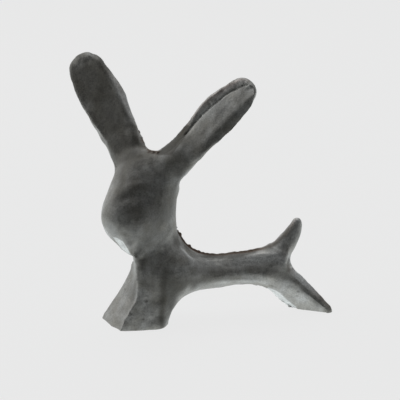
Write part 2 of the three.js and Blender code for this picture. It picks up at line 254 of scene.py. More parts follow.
@dataclass(frozen=True)
class Studio:
    """A pale floor with soft light from the left, the back and above, and a dark room in front of it.

    Attributes:
        backdrop: Linear level of the plain background.
        floor: Linear colour of the floor, as the light that it throws back.
        plainness: Share of the floor that the camera sees as plain backdrop, and not as lit surface.
        floor_size: Width of the floor.
        front_reach: How far in front of the figurine the floor starts to darken, and where it is darkest.
        near_floor: Level of the floor round the figurine, as the iron shows it.
        dark: Level of the room in front.
        left: Level of the surroundings on the left.
        right: Level of the surroundings on the right.
        lamp_size: Width of each lamp.
        lamp_power: Power of each lamp in watts.
    """

    backdrop: float = 0.8315
    floor: Size = (0.78, 0.82, 0.82)
    plainness: float = 0.94
    floor_size: float = 6.0
    front_reach: tuple[float, float] = (0.02, 0.09)
    near_floor: float = 1.1
    dark: float = 0.1
    left: float = 0.85
    right: float = 0.3
    lamp_size: float = 0.6
    lamp_power: float = 1.6

    def build(self) -> None:
        """Makes the floor, the surroundings and the lamps."""
        self.build_floor()
        self.build_world()
        self.lamp("window_light", (-0.75, 0.35, 0.55))
        self.lamp("top_light", (0.1, 0.45, 0.9))
        log.info("studio: floor, surroundings and 2 lamps")

    def build_floor(self) -> None:
        """Makes the floor, which keeps the object's shadow and otherwise shows as plain backdrop."""
        mesh = bpy.data.meshes.new("floor")
        bm = bmesh.new()
        bmesh.ops.create_grid(bm, x_segments=1, y_segments=1, size=self.floor_size / 2)
        bm.to_mesh(mesh)
        bm.free()
        floor = bpy.data.objects.new("floor", mesh)
        floor.location.z = CAD_BOX[0][2]
        bpy.context.scene.collection.objects.link(floor)
        material = bpy.data.materials.new("floor")
        material.use_nodes = True
        nodes = Nodes(material.node_tree)
        place = nodes.add("TexCoord").outputs["Object"]
        front = Vector((PHOTO.towards().x, PHOTO.towards().y, 0)).normalized()
        ahead = self.share_along(nodes, place, front)
        near, far = self.front_reach
        level = nodes.spread(ahead, near, far, self.near_floor, self.dark)
        lit = nodes.add("BsdfDiffuse", None, Color=(*self.floor, 1.0))
        plain = nodes.add("Emission", None, Color=grey(self.backdrop), Strength=1.0)
        reflected = nodes.add("Emission", None, Color=(0.97, 1.0, 1.0, 1.0), Strength=level)
        path = nodes.add("LightPath")
        seen = nodes.math("MULTIPLY", path.outputs["Is Camera Ray"], self.plainness)
        first = nodes.add("MixShader", None, in_0=seen, in_1=lit.outputs[0], in_2=plain.outputs[0])
        glossy = path.outputs["Is Glossy Ray"]
        both = nodes.add("MixShader", None, in_0=glossy, in_1=first.outputs[0], in_2=reflected.outputs[0])
        nodes.add("OutputMaterial", None, Surface=both.outputs[0])
        mesh.materials.append(material)

    def build_world(self) -> None:
        """Makes the surroundings: plain to the camera, and dark in front for the light on the iron."""
        world = bpy.data.worlds.new("studio")
        world.use_nodes = True
        nodes = Nodes(world.node_tree)
        place = nodes.add("TexCoord").outputs["Generated"]
        side = nodes.spread(self.share_along(nodes, place, PHOTO.right()), -0.7, 0.5, self.left, self.right)
        front = nodes.spread(self.share_along(nodes, place, PHOTO.towards()), -0.1, 0.6, 1.0, 0.0)
        level = nodes.math("ADD", nodes.math("MULTIPLY", side, front), self.dark)
        around = nodes.add("Background", None, Color=grey(1.0), Strength=level)
        plain = nodes.add("Background", None, Color=grey(self.backdrop), Strength=1.0)
        seen = nodes.add("LightPath").outputs["Is Camera Ray"]
        both = nodes.add("MixShader", None, in_0=seen, in_1=around.outputs[0], in_2=plain.outputs[0])
        nodes.add("OutputWorld", None, Surface=both.outputs[0])
        bpy.context.scene.world = world

    def share_along(
        self, nodes: Nodes, place: bpy.types.NodeSocket, direction: Vector
    ) -> bpy.types.NodeSocket:
        """How far a place lies in a direction.

        Args:
            nodes: The node tree.
            place: The place, or a direction of length 1.
            direction: The direction, of length 1.

        Returns:
            The output.
        """
        settings = {"operation": "DOT_PRODUCT"}
        return nodes.add("VectorMath", settings, in_0=place, in_1=direction).outputs["Value"]

    def lamp(self, name: str, place: Size) -> None:
        """Adds a soft square lamp that points at the figurine.

        Args:
            name: The lamp's name.
            place: Where it hangs.
        """
        data = bpy.data.lights.new(name, "AREA")
        data.size = self.lamp_size
        data.energy = self.lamp_power
        lamp = bpy.data.objects.new(name, data)
        lamp.location = place
        aim = Vector(PHOTO.target) - Vector(place)
        lamp.rotation_euler = aim.to_track_quat("-Z", "Y").to_euler()
        bpy.context.scene.collection.objects.link(lamp)


class Mark(Enum):
    """What is painted on the skin for the finish to read: brown flash, painted shade and dark reflections with
    some blackening, and painted highlights and reflections.
    """

    FLASH = "flash"
    # Painted shade and painted dark reflections, with some blackening of the iron.
    SHADE_AND_SOOT = "shade_and_soot"
    # Painted highlights and painted reflections of the pale floor.
    PAINTED_HIGHLIGHT = "painted_highlight"


def grain_group() -> bpy.types.NodeTree:
    """The grain of a sand casting, as a node group.

    Returns:
        The group. Its outputs are Grain and Mottle, from 0 to 1, and Height in metres.
    """
    name = "casting_grain"
    low, high = 0.35, 0.65
    if name in bpy.data.node_groups:
        return bpy.data.node_groups[name]
    tree = bpy.data.node_groups.new(name, "ShaderNodeTree")
    nodes = Nodes(tree)
    socket = tree.interface.new_socket
    for label, value in (("Grain Size", 0.5 * MM), ("Mottle Size", 7 * MM), ("Depth", 0.04 * MM)):
        socket(label, in_out="INPUT", socket_type="NodeSocketFloat").default_value = value
    for label in ("Grain", "Mottle", "Height"):
        socket(label, in_out="OUTPUT", socket_type="NodeSocketFloat")
    given = nodes.add("NodeGroupInput").outputs
    place = nodes.add("TexCoord").outputs["Object"]

    def fractal(size: bpy.types.NodeSocket, detail: float, rough: float) -> bpy.types.NodeSocket:
        """Noise with features of that size.

        Args:
            size: The size.
            detail: How many finer octaves it has.
            rough: How strong they are.

        Returns:
            The output.
        """
        scale = nodes.math("DIVIDE", 1.0, size)
        texture = nodes.add(
            "TexNoise", {"noise_dimensions": "3D"}, Vector=place, Scale=scale, Detail=detail, Roughness=rough
        )
        return texture.outputs[0]

    fine = fractal(given["Grain Size"], 3.0, 0.6)
    coarse = fractal(nodes.math("MULTIPLY", given["Grain Size"], 4.0), 2.0, 0.5)
    grain = nodes.math("ADD", nodes.math("MULTIPLY", fine, 0.6), nodes.math("MULTIPLY", coarse, 0.4))
    mottle = nodes.spread(fractal(given["Mottle Size"], 3.0, 0.55), low, high)
    height = nodes.math("MULTIPLY", grain, given["Depth"])
    nodes.add("NodeGroupOutput", None, Grain=nodes.spread(grain, low, high), Mottle=mottle, Height=height)
    return tree


@dataclass(frozen=True)
class CastIron:
    """Dark grey iron with the skin that it has from the mould, browner where the mould flash was ground. Its
    colour also carries painted shade and painted highlights.

    Attributes:
        name: The material's name.
        dark: Linear colour of the darker patches.
        light: Linear colour of the lighter patches.
        rust: Linear colour of the ground flash.
        shade_and_soot: Linear colour of the painted shade and dark reflections, and of the blackened patches.
        shade_and_soot_share: How much of that colour the darkest painted patch has.
        painted_highlight: Linear colour of the painted highlights and painted reflections.
        metallic: How much it reflects as plain metal.
        shade_and_soot_metallic: The same, where shade and blackening are painted.
        roughness: Of the smoothest and the roughest patches.
        speckle: How much the grain darkens and lightens the colour.
        grain_size: Size of the casting grain.
        grain_depth: Depth of the casting grain.
    """

    name: str
    dark: Size = (0.328, 0.323, 0.300)
    light: Size = (0.433, 0.438, 0.430)
    rust: Size = (0.17, 0.115, 0.09)
    shade_and_soot: Size = (0.032, 0.029, 0.019)
    shade_and_soot_share: float = 0.88
    painted_highlight: Size = (0.86, 0.89, 0.89)
    metallic: float = 0.9
    shade_and_soot_metallic: float = 0.5
    roughness: tuple[float, float] = (0.46, 0.6)
    speckle: tuple[float, float] = (0.72, 1.28)
    grain_size: float = 0.6 * MM
    grain_depth: float = 0.06 * MM

    def material(self) -> bpy.types.Material:
        """The finish as a material.

        Returns:
            The material, made at its first use.
        """
        if self.name in bpy.data.materials:
            return bpy.data.materials[self.name]
        material = bpy.data.materials.new(self.name)
        material.use_nodes = True
        nodes = Nodes(material.node_tree)
        grain = nodes.add("Group", {"node_tree": grain_group()})
        grain.inputs["Grain Size"].default_value = self.grain_size
        grain.inputs["Depth"].default_value = self.grain_depth
        flash, shade_and_soot, painted_highlight = (
            nodes.add("Attribute", {"attribute_name": mark.value}).outputs["Fac"] for mark in Mark
        )
        iron = nodes.mix(grain.outputs["Mottle"], (*self.dark, 1.0), (*self.light, 1.0))
        ground = nodes.mix(flash, iron, (*self.rust, 1.0))
        # Painted shade, dark reflections and blackening darken the colour, and painted highlights then lighten
        # it.
        with_painted_light = nodes.mix(nodes.math("MULTIPLY", shade_and_soot, self.shade_and_soot_share), ground, (*self.shade_and_soot, 1.0))
        with_painted_light = nodes.mix(painted_highlight, with_painted_light, (*self.painted_highlight, 1.0))
        speckle = nodes.spread(grain.outputs["Grain"], 0.0, 1.0, *self.speckle)
        colour = nodes.add("VectorMath", {"operation": "SCALE"}, in_0=with_painted_light, Scale=speckle).outputs[0]
        rough = nodes.spread(grain.outputs["Grain"], 0.0, 1.0, *self.roughness)
        # Less metallic where shade is painted, so that edges there stay dark.
        metallic = nodes.spread(shade_and_soot, 0.0, 1.0, self.metallic, self.shade_and_soot_metallic)
        bump = nodes.add("Bump", None, Strength=1.0, Distance=1.0, Height=grain.outputs["Height"])
        looks = {"Base_Color": colour, "Metallic": metallic, "Roughness": rough, "Normal": bump.outputs[0]}
        shader = nodes.add("BsdfPrincipled", None, **looks)
        nodes.add("OutputMaterial", None, Surface=shader.outputs[0])
        return material


@dataclass(frozen=True)
class Seam:
    """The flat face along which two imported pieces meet.

    Attributes:
        point: A point halfway between the two pieces.
        normal: From the first piece to the second.
    """

    point: Vector
    normal: Vector


def merged(node: str) -> bmesh.types.BMesh:
    """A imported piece's copy, with its loose triangles joined.

    Args:
        node: The piece's node.

    Returns:
        Its closed mesh.
    """
    bm = bmesh.new()
    bm.from_mesh(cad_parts[node].data)
    bmesh.ops.remove_doubles(bm, verts=bm.verts, dist=0.001 * MM)
    return bm


class Blank:
    """The unworked casting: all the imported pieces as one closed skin.

    Attributes:
        GAP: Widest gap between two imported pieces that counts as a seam.
        OVERLAP: How far a piece's seam face is moved into the gap, past its middle.
        SUNK: How far the feet are lengthened, to be cut level again at the end.
        GRID: Length of the skin's edges.
    """

    GAP = 0.35 * MM
    OVERLAP = 0.05 * MM
    SUNK = 2 * MM
    GRID = 0.36 * MM

    def __init__(self) -> None:
        """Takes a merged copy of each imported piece."""
        self.copies = {name: merged(name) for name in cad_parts}
        self.trees = {name: BVHTree.FromBMesh(bm) for name, bm in self.copies.items()}
        self.seams: dict[tuple[str, str], Seam] = {}

    def seam(self, first: str, second: str) -> Seam:
        """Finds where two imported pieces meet.

        Args:
            first: The node that the seam's normal leaves.
            second: The node that it points to.

        Returns:
            The seam.
        """
        key = (first, second)
        if key in self.seams:
            return self.seams[key]
        point, normal, area, gap = Vector(), Vector(), 0.0, 0.0
        for face in self.copies[first].faces:
            centre = face.calc_center_median()
            near, _, _, distance = self.trees[second].find_nearest(centre, self.GAP)
            if near is None or (near - centre).normalized().dot(face.normal) < 0.99:
                continue
            size = face.calc_area()
            point += centre * size
            normal += face.normal * size
            gap += distance * size
            area += size
        normal.normalize()
        self.seams[key] = Seam(point / area + normal * gap / area / 2, normal)
        return self.seams[key]

    def skin(self, pairs: list[tuple[str, str]]) -> bpy.types.Mesh:
        """Closes the seams and wraps everything in one even skin.

        Args:
            pairs: The nodes that meet.

        Returns:
            The skin's mesh.
        """
        for first, second in pairs:
            seam = self.seam(first, second)
            self.push(first, seam.point, seam.normal)
            self.push(second, seam.point, -seam.normal)
        ground = CAD_BOX[0][2]
        whole = bmesh.new()
        for bm in self.copies.values():
            for vert in bm.verts:
                if vert.co.z < ground + self.OVERLAP:
                    vert.co.z -= self.SUNK
            mesh = bpy.data.meshes.new("copy")
            bm.to_mesh(mesh)
            bm.free()
            whole.from_mesh(mesh)
            bpy.data.meshes.remove(mesh)
        mesh = bpy.data.meshes.new("blank")
        whole.to_mesh(mesh)
        whole.free()
        return remeshed(mesh, self.GRID)

    def push(self, node: str, point: Vector, normal: Vector) -> None:
        """Moves a piece's seam face past the middle of the gap.

        Args:
            node: The piece.
            point: A point in the middle of the gap.
            normal: From the piece into the gap.
        """
        for vert in self.copies[node].verts:
            short = (vert.co - point).dot(normal)
            if -self.GAP / 2 - self.OVERLAP < short < 0:
                vert.co += normal * (self.OVERLAP - short)


def remeshed(mesh: bpy.types.Mesh, edge: float) -> bpy.types.Mesh:
    """Wraps a mesh in an even skin of squares.

    Args:
        mesh: One or more closed bodies. It is used up.
        edge: Length of the new edges.

    Returns:
        The new mesh.
    """
    holder = bpy.data.objects.new("blank", mesh)
    bpy.context.scene.collection.objects.link(holder)
    modifier = holder.modifiers.new("wrap", "REMESH")
    modifier.mode = "VOXEL"
    modifier.voxel_size = edge
    ready = holder.evaluated_get(bpy.context.evaluated_depsgraph_get())
    skin = bpy.data.meshes.new_from_object(ready)
    bpy.data.objects.remove(holder)
    bpy.data.meshes.remove(mesh)
    return skin


class Skin:
    """The casting's skin while it is worked. Its points are moved, and marks are painted on them.

    Its tools take pixels of the photograph as places, and millimetres as radii, widths, heights and depths.

    Attributes:
        PULL: Share of the way to the mean of its neighbours that smoothing moves a point.
        SWELL: The same, for swelling back.
        TURNED: How far a face may turn from the camera and still belong to a patch.
        WAVE: Length of the waves of a ragged welt.
    """

    PULL = 0.6
    SWELL = -0.62
    TURNED = -0.25
    WAVE = 1.2

    def __init__(self, mesh: bpy.types.Mesh) -> None:
        """Reads the skin's points.

        Args:
            mesh: The skin, which keeps its faces throughout.
        """
        self.mesh = mesh
        count = len(mesh.vertices)
        self.points = np.empty(count * 3, np.float32)
        mesh.vertices.foreach_get("co", self.points)
        self.points = self.points.reshape(-1, 3).astype(float)
        ends = np.empty(len(mesh.edges) * 2, np.int32)
        mesh.edges.foreach_get("vertices", ends)
        self.ends = ends.reshape(-1, 2)
        self.marks = {mark: np.zeros(count) for mark in Mark}
        self.normals = np.zeros((count, 3))
        self.tree: BVHTree | None = None
        self.refresh()

    def refresh(self) -> None:
        """Writes the points to the mesh and takes its normals anew."""
        self.mesh.vertices.foreach_set("co", self.points.astype(np.float32).ravel())
        self.mesh.update()
        normals = np.empty(len(self.points) * 3, np.float32)
        self.mesh.vertex_normals.foreach_get("vector", normals)
        self.normals = normals.reshape(-1, 3).astype(float)
        self.tree = None

    def from_neighbours(self) -> np.ndarray:
        """How far each point is from the mean of its neighbours, and in which direction.

        Returns:
            One row a point.
        """
        a, b = self.ends.T
        count = len(self.points)
        columns = [
            np.bincount(a, column[b], count) + np.bincount(b, column[a], count) for column in self.points.T
        ]
        links = np.bincount(a, minlength=count) + np.bincount(b, minlength=count)
        return np.stack(columns, axis=1) / np.maximum(links, 1)[:, None] - self.points

    def relax(self, rounds: int) -> None:
        """Smooths the whole skin without shrinking it, and swells it back each round.

        Args:
            rounds: How often it is smoothed.
        """
        for _ in range(rounds):
            for pull in (self.PULL, self.SWELL):
                self.points += pull * self.from_neighbours()
        self.refresh()

    def soften(self, share: np.ndarray, rounds: int) -> None:
        """Smooths part of the skin, edges too."""
        for _ in range(rounds):
            self.points += share[:, None] * self.PULL * self.from_neighbours()

    def spot(self, pixel: Pixel) -> Vector:
        """The place on the skin that a pixel of the photograph shows.

        Args:
            pixel: Across and down in the photograph.

        Returns:
            The point.
        """
        if self.tree is None:
            bm = bmesh.new()
            bm.from_mesh(self.mesh)
            self.tree = BVHTree.FromBMesh(bm)
            bm.free()
        point = self.tree.ray_cast(PHOTO.location(), PHOTO.ray(pixel))[0]
        if point is None:
            log.warning("no skin at pixel %s", pixel)
            point = self.tree.find_nearest(PHOTO.location() + PHOTO.ray(pixel) * PHOTO.distance)[0]
        return point

    def facing(self) -> np.ndarray:
        """How squarely each point faces the photograph's camera, from -1 to 1."""
        return self.normals @ np.array(PHOTO.towards())

    def seen(self) -> np.ndarray:
        """1 where a point faces the photograph's camera, falling to 0 where it turns away."""
        return np.clip(self.facing() * 4 + 0.5, 0, 1)

    def around(self, pixel: Pixel, radius: float) -> np.ndarray:
        """1 at the place that a pixel shows, falling smoothly to 0 at a radius from it."""
        return dome(np.linalg.norm(self.points - np.array(self.spot(pixel)), axis=1), radius * MM)

    def patch(self, outline: list[Pixel], soft: float, mirrored: bool = False) -> np.ndarray:
        """1 on the part of the skin that shows inside an outline in the photograph, with a soft edge.

        Args:
            outline: The outline's corners.
            soft: How many pixels inside the outline it reaches 1.
            mirrored: Whether it is that part's mirror image, on the figurine's other side.

        Returns:
            How much each point belongs to it, from 0 to 1.
        """
        flip = np.array([1, -1 if mirrored else 1, 1])
        shown = np.flatnonzero((self.normals * flip) @ np.array(PHOTO.towards()) > self.TURNED)
        place = PHOTO.pixels(self.points[shown] * flip)
        inside = np.zeros(len(place), bool)
        margin = np.full(len(place), np.inf)
        for start, end in zip(outline, [*outline[1:], outline[0]]):
            run = np.subtract(end, start)
            along = np.clip((place - start) @ run / (run @ run), 0, 1)
            margin = np.minimum(margin, np.linalg.norm(place - start - along[:, None] * run, axis=1))
            if run[1]:
                crossing = start[0] + (place[:, 1] - start[1]) / run[1] * run[0]
                inside ^= ((start[1] > place[:, 1]) != (end[1] > place[:, 1])) & (place[:, 0] < crossing)
        ramp = np.clip(margin / soft, 0, 1)
        share = np.zeros(len(self.points))
        share[shown] = np.where(inside, ramp * ramp * (3 - 2 * ramp), 0)
        return share

    def fade(self, start: Pixel, end: Pixel) -> np.ndarray:
        """0 before one place on the skin and 1 beyond another, along the line from the one to the other.

        Args:
            start: The pixel that shows the one place.
            end: The pixel that shows the other.

        Returns:
            A value from 0 to 1 for each point.
        """
        first, last = np.array(self.spot(start)), np.array(self.spot(end))
        run = last - first
        return np.clip((self.points - first) @ run / (run @ run), 0, 1)

    def trace(self, line: list[Pixel], width: float) -> tuple[np.ndarray, np.ndarray]:
        """Follows a line in the photograph over the skin.

        Args:
            line: The line's corners.
            width: Its whole width.

        Returns:
            How much each point belongs to it, from 0 to 1, and how far along it the point lies.
        """
        distance, along = to_line(self.points, [self.spot(pixel) for pixel in line])
        ends = np.clip(np.minimum(along, along.max() - along) / (width * MM), 0, 1)
        return dome(distance, width * MM / 2) * ends, along

    def streak(self, line: list[Pixel], width: float) -> np.ndarray:
        """1 along a line in the photograph, falling smoothly to 0 beside it."""
        return self.trace(line, width)[0]

    def plane(self, corners: list[Pixel], raised: float = 0.0) -> "Plane":
        """The plane through three places that pixels show.

        Args:
            corners: The three pixels.
            raised: How far the plane then moves out of the skin.

        Returns:
            The plane, whose normal is on the camera's side.
        """
        first, second, third = (self.spot(pixel) for pixel in corners)
        normal = (second - first).cross(third - first).normalized()
        if normal.dot(PHOTO.towards()) < 0:
            normal.negate()
        return Plane(first + normal * (raised * MM), normal)

    def hinge(self, start: Pixel, end: Pixel, turn: float) -> "Plane":
        """A plane that turns about a line on the skin.

        Args:
            start: The pixel that shows the line's start.
            end: The pixel that shows its end.
            turn: Turn in degrees from facing the camera as squarely as the line lets it. Above 0 it faces
                more to the right of the line, as seen from its start.

        Returns:
            The plane.
        """
        first, last = self.spot(start), self.spot(end)
        along = (last - first).normalized()
        square = (PHOTO.towards() - along * along.dot(PHOTO.towards())).normalized()
        aside = along.cross(square)
        return Plane(first, square * cos(radians(turn)) + aside * sin(radians(turn)))

    def lift(self, amounts: np.ndarray) -> None:
        """Moves each point out along its normal by an amount of its own, in metres."""
        self.points += self.normals * amounts[:, None]

    def dent(self, *dents: Spot) -> None:
        """Presses round dents, each by its pixel, radius and depth, or raises bumps for depths below 0."""
        for pixel, radius, depth in dents:
            self.lift(-depth * MM * self.around(pixel, radius))

    def welt(self, line: list[Pixel], width: float, height: float, ragged: float = 0.0) -> np.ndarray:
        """Raises a narrow welt along a line in the photograph, or cuts a groove where the height is below 0.

        Args:
            line: The line's corners.
            width: Its whole width.
            height: Its height.
            ragged: How uneven it is, from 0 to 1.

        Returns:
            How much each point belongs to it, from 0 to 1.
        """
        share, along = self.trace(line, width)
        uneven = np.ones(len(share))
        for point in np.flatnonzero(share) if ragged else ():
            wave = noise.noise(Vector((along[point] / (self.WAVE * MM), line[0][0], 0.0)))
            uneven[point] = 1 + ragged * 1.6 * wave
        self.lift(height * MM * share * uneven)
        return share

    def warp(self, reach: float, places: list[tuple[Pixel, float, float]]) -> None:
        """Moves the casting sideways in the photograph, all that shows near some pixels or lies behind them.

        Args:
            reach: About how many pixels from them it still moves.
            places: Pixels, each with how many pixels the casting moves there to the right and upwards.
        """
        shown = PHOTO.pixels(self.points)
        weight = np.zeros(len(shown))
        move = np.zeros((len(shown), 2))
        for pixel, across, rise in places:
            near = np.exp(-((shown - pixel) ** 2).sum(axis=1) / (2 * reach**2))
            weight += near
            move += near[:, None] * (across, rise)
        move *= PHOTO.pixel_width() / np.maximum(weight, 1)[:, None]
        self.points += move @ np.array([PHOTO.right(), PHOTO.above()])

    def flatten(self, plane: "Plane", share: np.ndarray, most: float, fill: float = 0.0) -> None:
        """Planes the skin down to a plane.

        Args:
            plane: The plane.
            share: How much each point takes part, from 0 to 1.
            most: The most that a point moves.
            fill: How much of what lies below the plane is filled up to it, from 0 to 1.
        """
        above = (self.points - np.array(plane.point)) @ np.array(plane.normal)
        move = np.where(above > 0, -above, -above * fill)
        limited = share * (most * MM) * np.tanh(move / (most * MM))
        self.points += limited[:, None] * np.array(plane.normal)

    def roughen(self, size: float, depth: float, share: np.ndarray | float = 1.0) -> None:
        """Makes the skin uneven, as a sand mould leaves it.

        Args:
            size: Width of the swells.
            depth: Height of the swells.
            share: How much each point takes part.
        """
        swells = np.array([noise.noise(Vector(point)) for point in self.points / (size * MM)])
        self.lift(swells * (depth * MM) * share)

    def paint(self, mark: Mark, place: np.ndarray, share: float = 1.0) -> None:
        """Adds to a mark, up to 1, or takes that share off it where the share is below 0.

        Args:
            mark: The mark.
            place: How much each point takes part, from 0 to 1.
            share: How much is added or taken, from -1 to 1.
        """
        amount = np.clip(place * abs(share), 0, 1)
        if share < 0:
            self.marks[mark] *= 1 - amount
        else:
            self.marks[mark] = 1 - (1 - self.marks[mark]) * (1 - amount)

    def dab(self, mark: Mark, *spots: Spot) -> None:
        """Paints soft round spots, each by its pixel, radius and share."""
        for pixel, radius, share in spots:
            self.paint(mark, self.around(pixel, radius), share)

    def stroke(self, mark: Mark, *lines: tuple[list[Pixel], float, float]) -> None:
        """Paints soft lines, each by its corners, width and share."""
        for line, width, share in lines:
            self.paint(mark, self.streak(line, width), share)


@dataclass(frozen=True)
class Plane:
    """A plane by one of its points and its normal."""

    point: Vector
    normal: Vector

    def mirrored(self) -> "Plane":
        """Its mirror image, on the figurine's other side."""
        flip = Vector((1, -1, 1))
        return Plane(self.point * flip, self.normal * flip)


def dome(distance: np.ndarray, radius: float) -> np.ndarray:
    """1 at the middle, falling smoothly to 0 at the radius."""
    share = np.clip(distance / radius, 0, 1)
    return (1 - share * share) ** 2


def to_line(points: np.ndarray, line: list[Vector]) -> tuple[np.ndarray, np.ndarray]:
    """How far points lie from a line of straight runs, and how far along it the nearest place is.

    Args:
        points: One row a point.
        line: The line's corners.

    Returns:
        The distances, and the lengths along the line.
    """
    best = np.full(len(points), np.inf)
    along = np.zeros(len(points))
    travelled = 0.0
    for start, end in zip(line, line[1:]):
        run = np.array(end - start)
        length = float(np.linalg.norm(run))
        share = np.clip((points - np.array(start)) @ run / length**2, 0, 1)
        distance = np.linalg.norm(points - np.array(start) - share[:, None] * run, axis=1)
        nearer = distance < best
        best[nearer] = distance[nearer]
        along[nearer] = travelled + share[nearer] * length
        travelled += length
    return best, along


@dataclass
class Ears:
    """Two blades on the head. The left one is scooped out, the right one is nearly flat.

    Attributes:
        fill: How far the right ear's scoop is filled.
        face_most: Most that the right ear's face moves.
        sliver: Most that is planed off the right ear's edges.
        inner_turn: Turn of the strip along the right ear's inner edge, in degrees.
        outer_turn: Turn of the strip along its outer edge, in degrees.
        step: Depth of the left scoop's sharp edge.
        scoop_most: Most that the left ear's scoop and band are planed.
        band_turn: How far the left ear's outer band turns from the camera, in degrees.
    """

    fill: float = 1.7
    face_most: float = 3.0
    sliver: float = 1.5
    inner_turn: float = -42.0
    outer_turn: float = 48.0
    step: float = 0.45
    scoop_most: float = 4.0
    band_turn: float = 10.0

    def sculpt(self, skin: Skin) -> None:
        """Works both ears.

        Args:
            skin: The casting's skin.
        """
        self.sculpt_right(skin)
        self.sculpt_left(skin)

    def sculpt_right(self, skin: Skin) -> None:
        """Levels the right ear's scoop and planes the strips along its edges.

        Args:
            skin: The casting's skin.
        """
        outline = [
            (68, 74), (76, 54), (92, 50), (106, 58), (126, 98), (142, 132), (136, 158), (116, 162),
            (100, 134), (78, 100),
        ]
        face = skin.patch(outline, 5) * skin.fade((128, 160), (114, 132))
        level = skin.plane([(88, 78), (112, 118), (98, 100)], self.fill)
        skin.flatten(level, face, self.face_most, 1.0)
        skin.soften(face, 30)
        skin.soften(skin.around((118, 142), 9), 80)
        brow = skin.patch([(108, 152), (126, 146), (150, 138), (160, 152), (146, 176), (112, 178)], 8)
        skin.soften(brow, 80)
        skin.warp(6, [
            ((96, 53), -1.4, -2.4), ((103, 61), -0.7, -0.5), ((70, 66), -0.8, 0.0),
            ((70, 78), -1.6, 0.0), ((75, 92), -1.4, 0.0), ((82, 105), 0.2, 0.1), ((89, 116), 1.6, 0.7),
            ((98, 131), 1.7, 0.7), ((107, 147), 1.6, 0.7), ((116, 84), 0.6, 0.0), ((124, 92), 1.9, 0.3),
            ((130, 106), 0.5, 0.0), ((137, 122), 0.6, 0.0), ((144, 138), 0.9, 0.0),
        ])
        skin.refresh()
        inner = [(98, 52), (108, 68), (116.5, 88), (134, 127), (146, 136), (134, 92), (112, 56)]
        strip = skin.patch(inner, 1.5)
        skin.flatten(skin.hinge((117.5, 91), (134, 127), self.inner_turn), strip, self.sliver)
        outer = [(94, 124), (102, 134), (112, 150), (118, 168), (98, 168), (84, 124)]
        strip = skin.patch(outer, 1.5)
        skin.flatten(skin.hinge((102.5, 135), (112.5, 154), self.outer_turn), strip, self.sliver)
        skin.refresh()
        skin.dent(
            ((87, 62), 2.0, 0.2), ((136.5, 127), 1.3, -0.25), ((139, 132), 1.3, -0.5),
            ((141.5, 138), 1.3, -0.5), ((144, 143), 1.3, -0.3), ((138, 157), 2.2, 0.3),
        )
        self.paint_right(skin, face)

    def paint_right(self, skin: Skin, face: np.ndarray) -> None:
        """Darkens the right ear, its face most, lightens its inner strip with a painted highlight, and paints
        shade in a dent.

        Args:
            skin: The casting's skin.
            face: How much each point belongs to the ear's face.
        """
        # Painted shade in the dent below the ear.
        skin.dab(Mark.SHADE_AND_SOOT, ((138, 157), 2.0, 0.8))
        skin.dab(Mark.FLASH, ((139, 132), 2.4, 0.8), ((143, 141), 2.0, 0.8))
        outline = [
            (66, 74), (72, 50), (92, 46), (108, 56), (118, 92), (137, 127), (148, 176), (116, 182),
            (106, 142), (74, 100),
        ]
        whole = skin.patch(outline, 2) * skin.fade((128, 174), (122, 146))
        # Darkens the whole ear and its face more, and takes some of that off in places.
        skin.paint(Mark.SHADE_AND_SOOT, whole, 0.75)
        skin.paint(Mark.SHADE_AND_SOOT, face, 0.7)
        skin.dab(Mark.SHADE_AND_SOOT, ((87, 55), 4, -0.4))
        side = skin.streak([(100, 56), (109, 70), (117, 85), (124, 98), (130, 112), (136, 128)], 6)
        skin.paint(Mark.SHADE_AND_SOOT, np.maximum(side, skin.around((132, 133), 4)), -0.6)
        # Painted highlight along the inner strip.
        skin.paint(Mark.PAINTED_HIGHLIGHT, side, 0.2)
        skin.dab(Mark.SHADE_AND_SOOT, ((79, 62), 4, -0.4), ((88, 108), 4, -0.4))
        skin.stroke(Mark.FLASH, ([(104, 58), (117, 82), (127, 96), (142, 132)], 2.0, 0.3))
        skin.dab(Mark.SHADE_AND_SOOT, ((142, 147), 4, 0.85), ((127, 151), 8, 0.4), ((105, 141), 5, 0.35))

    def sculpt_left(self, skin: Skin) -> None:
        """Cuts the left ear's scoop to a floor that rises to a crest, and planes the band beyond it.

        Args:
            skin: The casting's skin.
        """
        floor = skin.plane([(236, 96), (206, 124), (222, 104)])
        outline = [
            (248, 86), (262, 84), (262, 104), (232, 140), (196, 172), (182, 158), (196, 142), (205, 130),
            (226, 104),
        ]
        skin.flatten(floor, skin.patch(outline, 2), self.scoop_most)
        root = [(150, 146), (182, 112), (196, 120), (206, 142), (194, 178), (168, 186), (150, 162)]
        skin.soften(skin.patch(root, 7), 260)
        skin.warp(5, [
            ((160, 148), 0.6, -1.2), ((165, 145), 1.7, -2.5), ((170, 139), 2.6, -3.1),
            ((176, 132), 2.8, -3.2), ((182, 126), 2.9, -3.2), ((187, 120), 2.7, -3.0),
            ((192, 112), 2.4, -2.2), ((197, 107), 1.0, -1.0), ((203, 101), 0.4, -0.4),
            ((228, 85), 0.4, -0.8), ((233, 80), 0.4, -1.6), ((240, 77.5), 0.0, -1.2),
            ((247, 78.5), -0.2, -0.6), ((256, 92), 0.0, 0.0), ((255, 100), -2.3, 1.0),
            ((251, 107), -1.8, 1.0), ((245, 114), -0.5, 0.4), ((235, 124), -0.3, 0.3),
            ((224, 135), -0.6, 0.6), ((213, 146), -0.6, 0.6), ((205, 153), -0.1, 0.1),
            ((197, 160), 1.0, -1.0), ((190, 167), 1.8, -1.8), ((184, 173), 2.8, -2.8),
            ((180, 179), 3.2, -2.0), ((178.5, 187), 1.6, -0.2),
        ])
        skin.refresh()
        outline = [
            (260, 86), (251, 95), (240, 105), (226, 121), (210, 136), (200, 147), (190, 160), (192, 178),
            (270, 122), (266, 84),
        ]
        band = skin.patch(outline, 4) * skin.fade((193, 156), (216, 136))
        skin.flatten(skin.hinge((203, 143), (250, 97), self.band_turn), band, self.scoop_most)
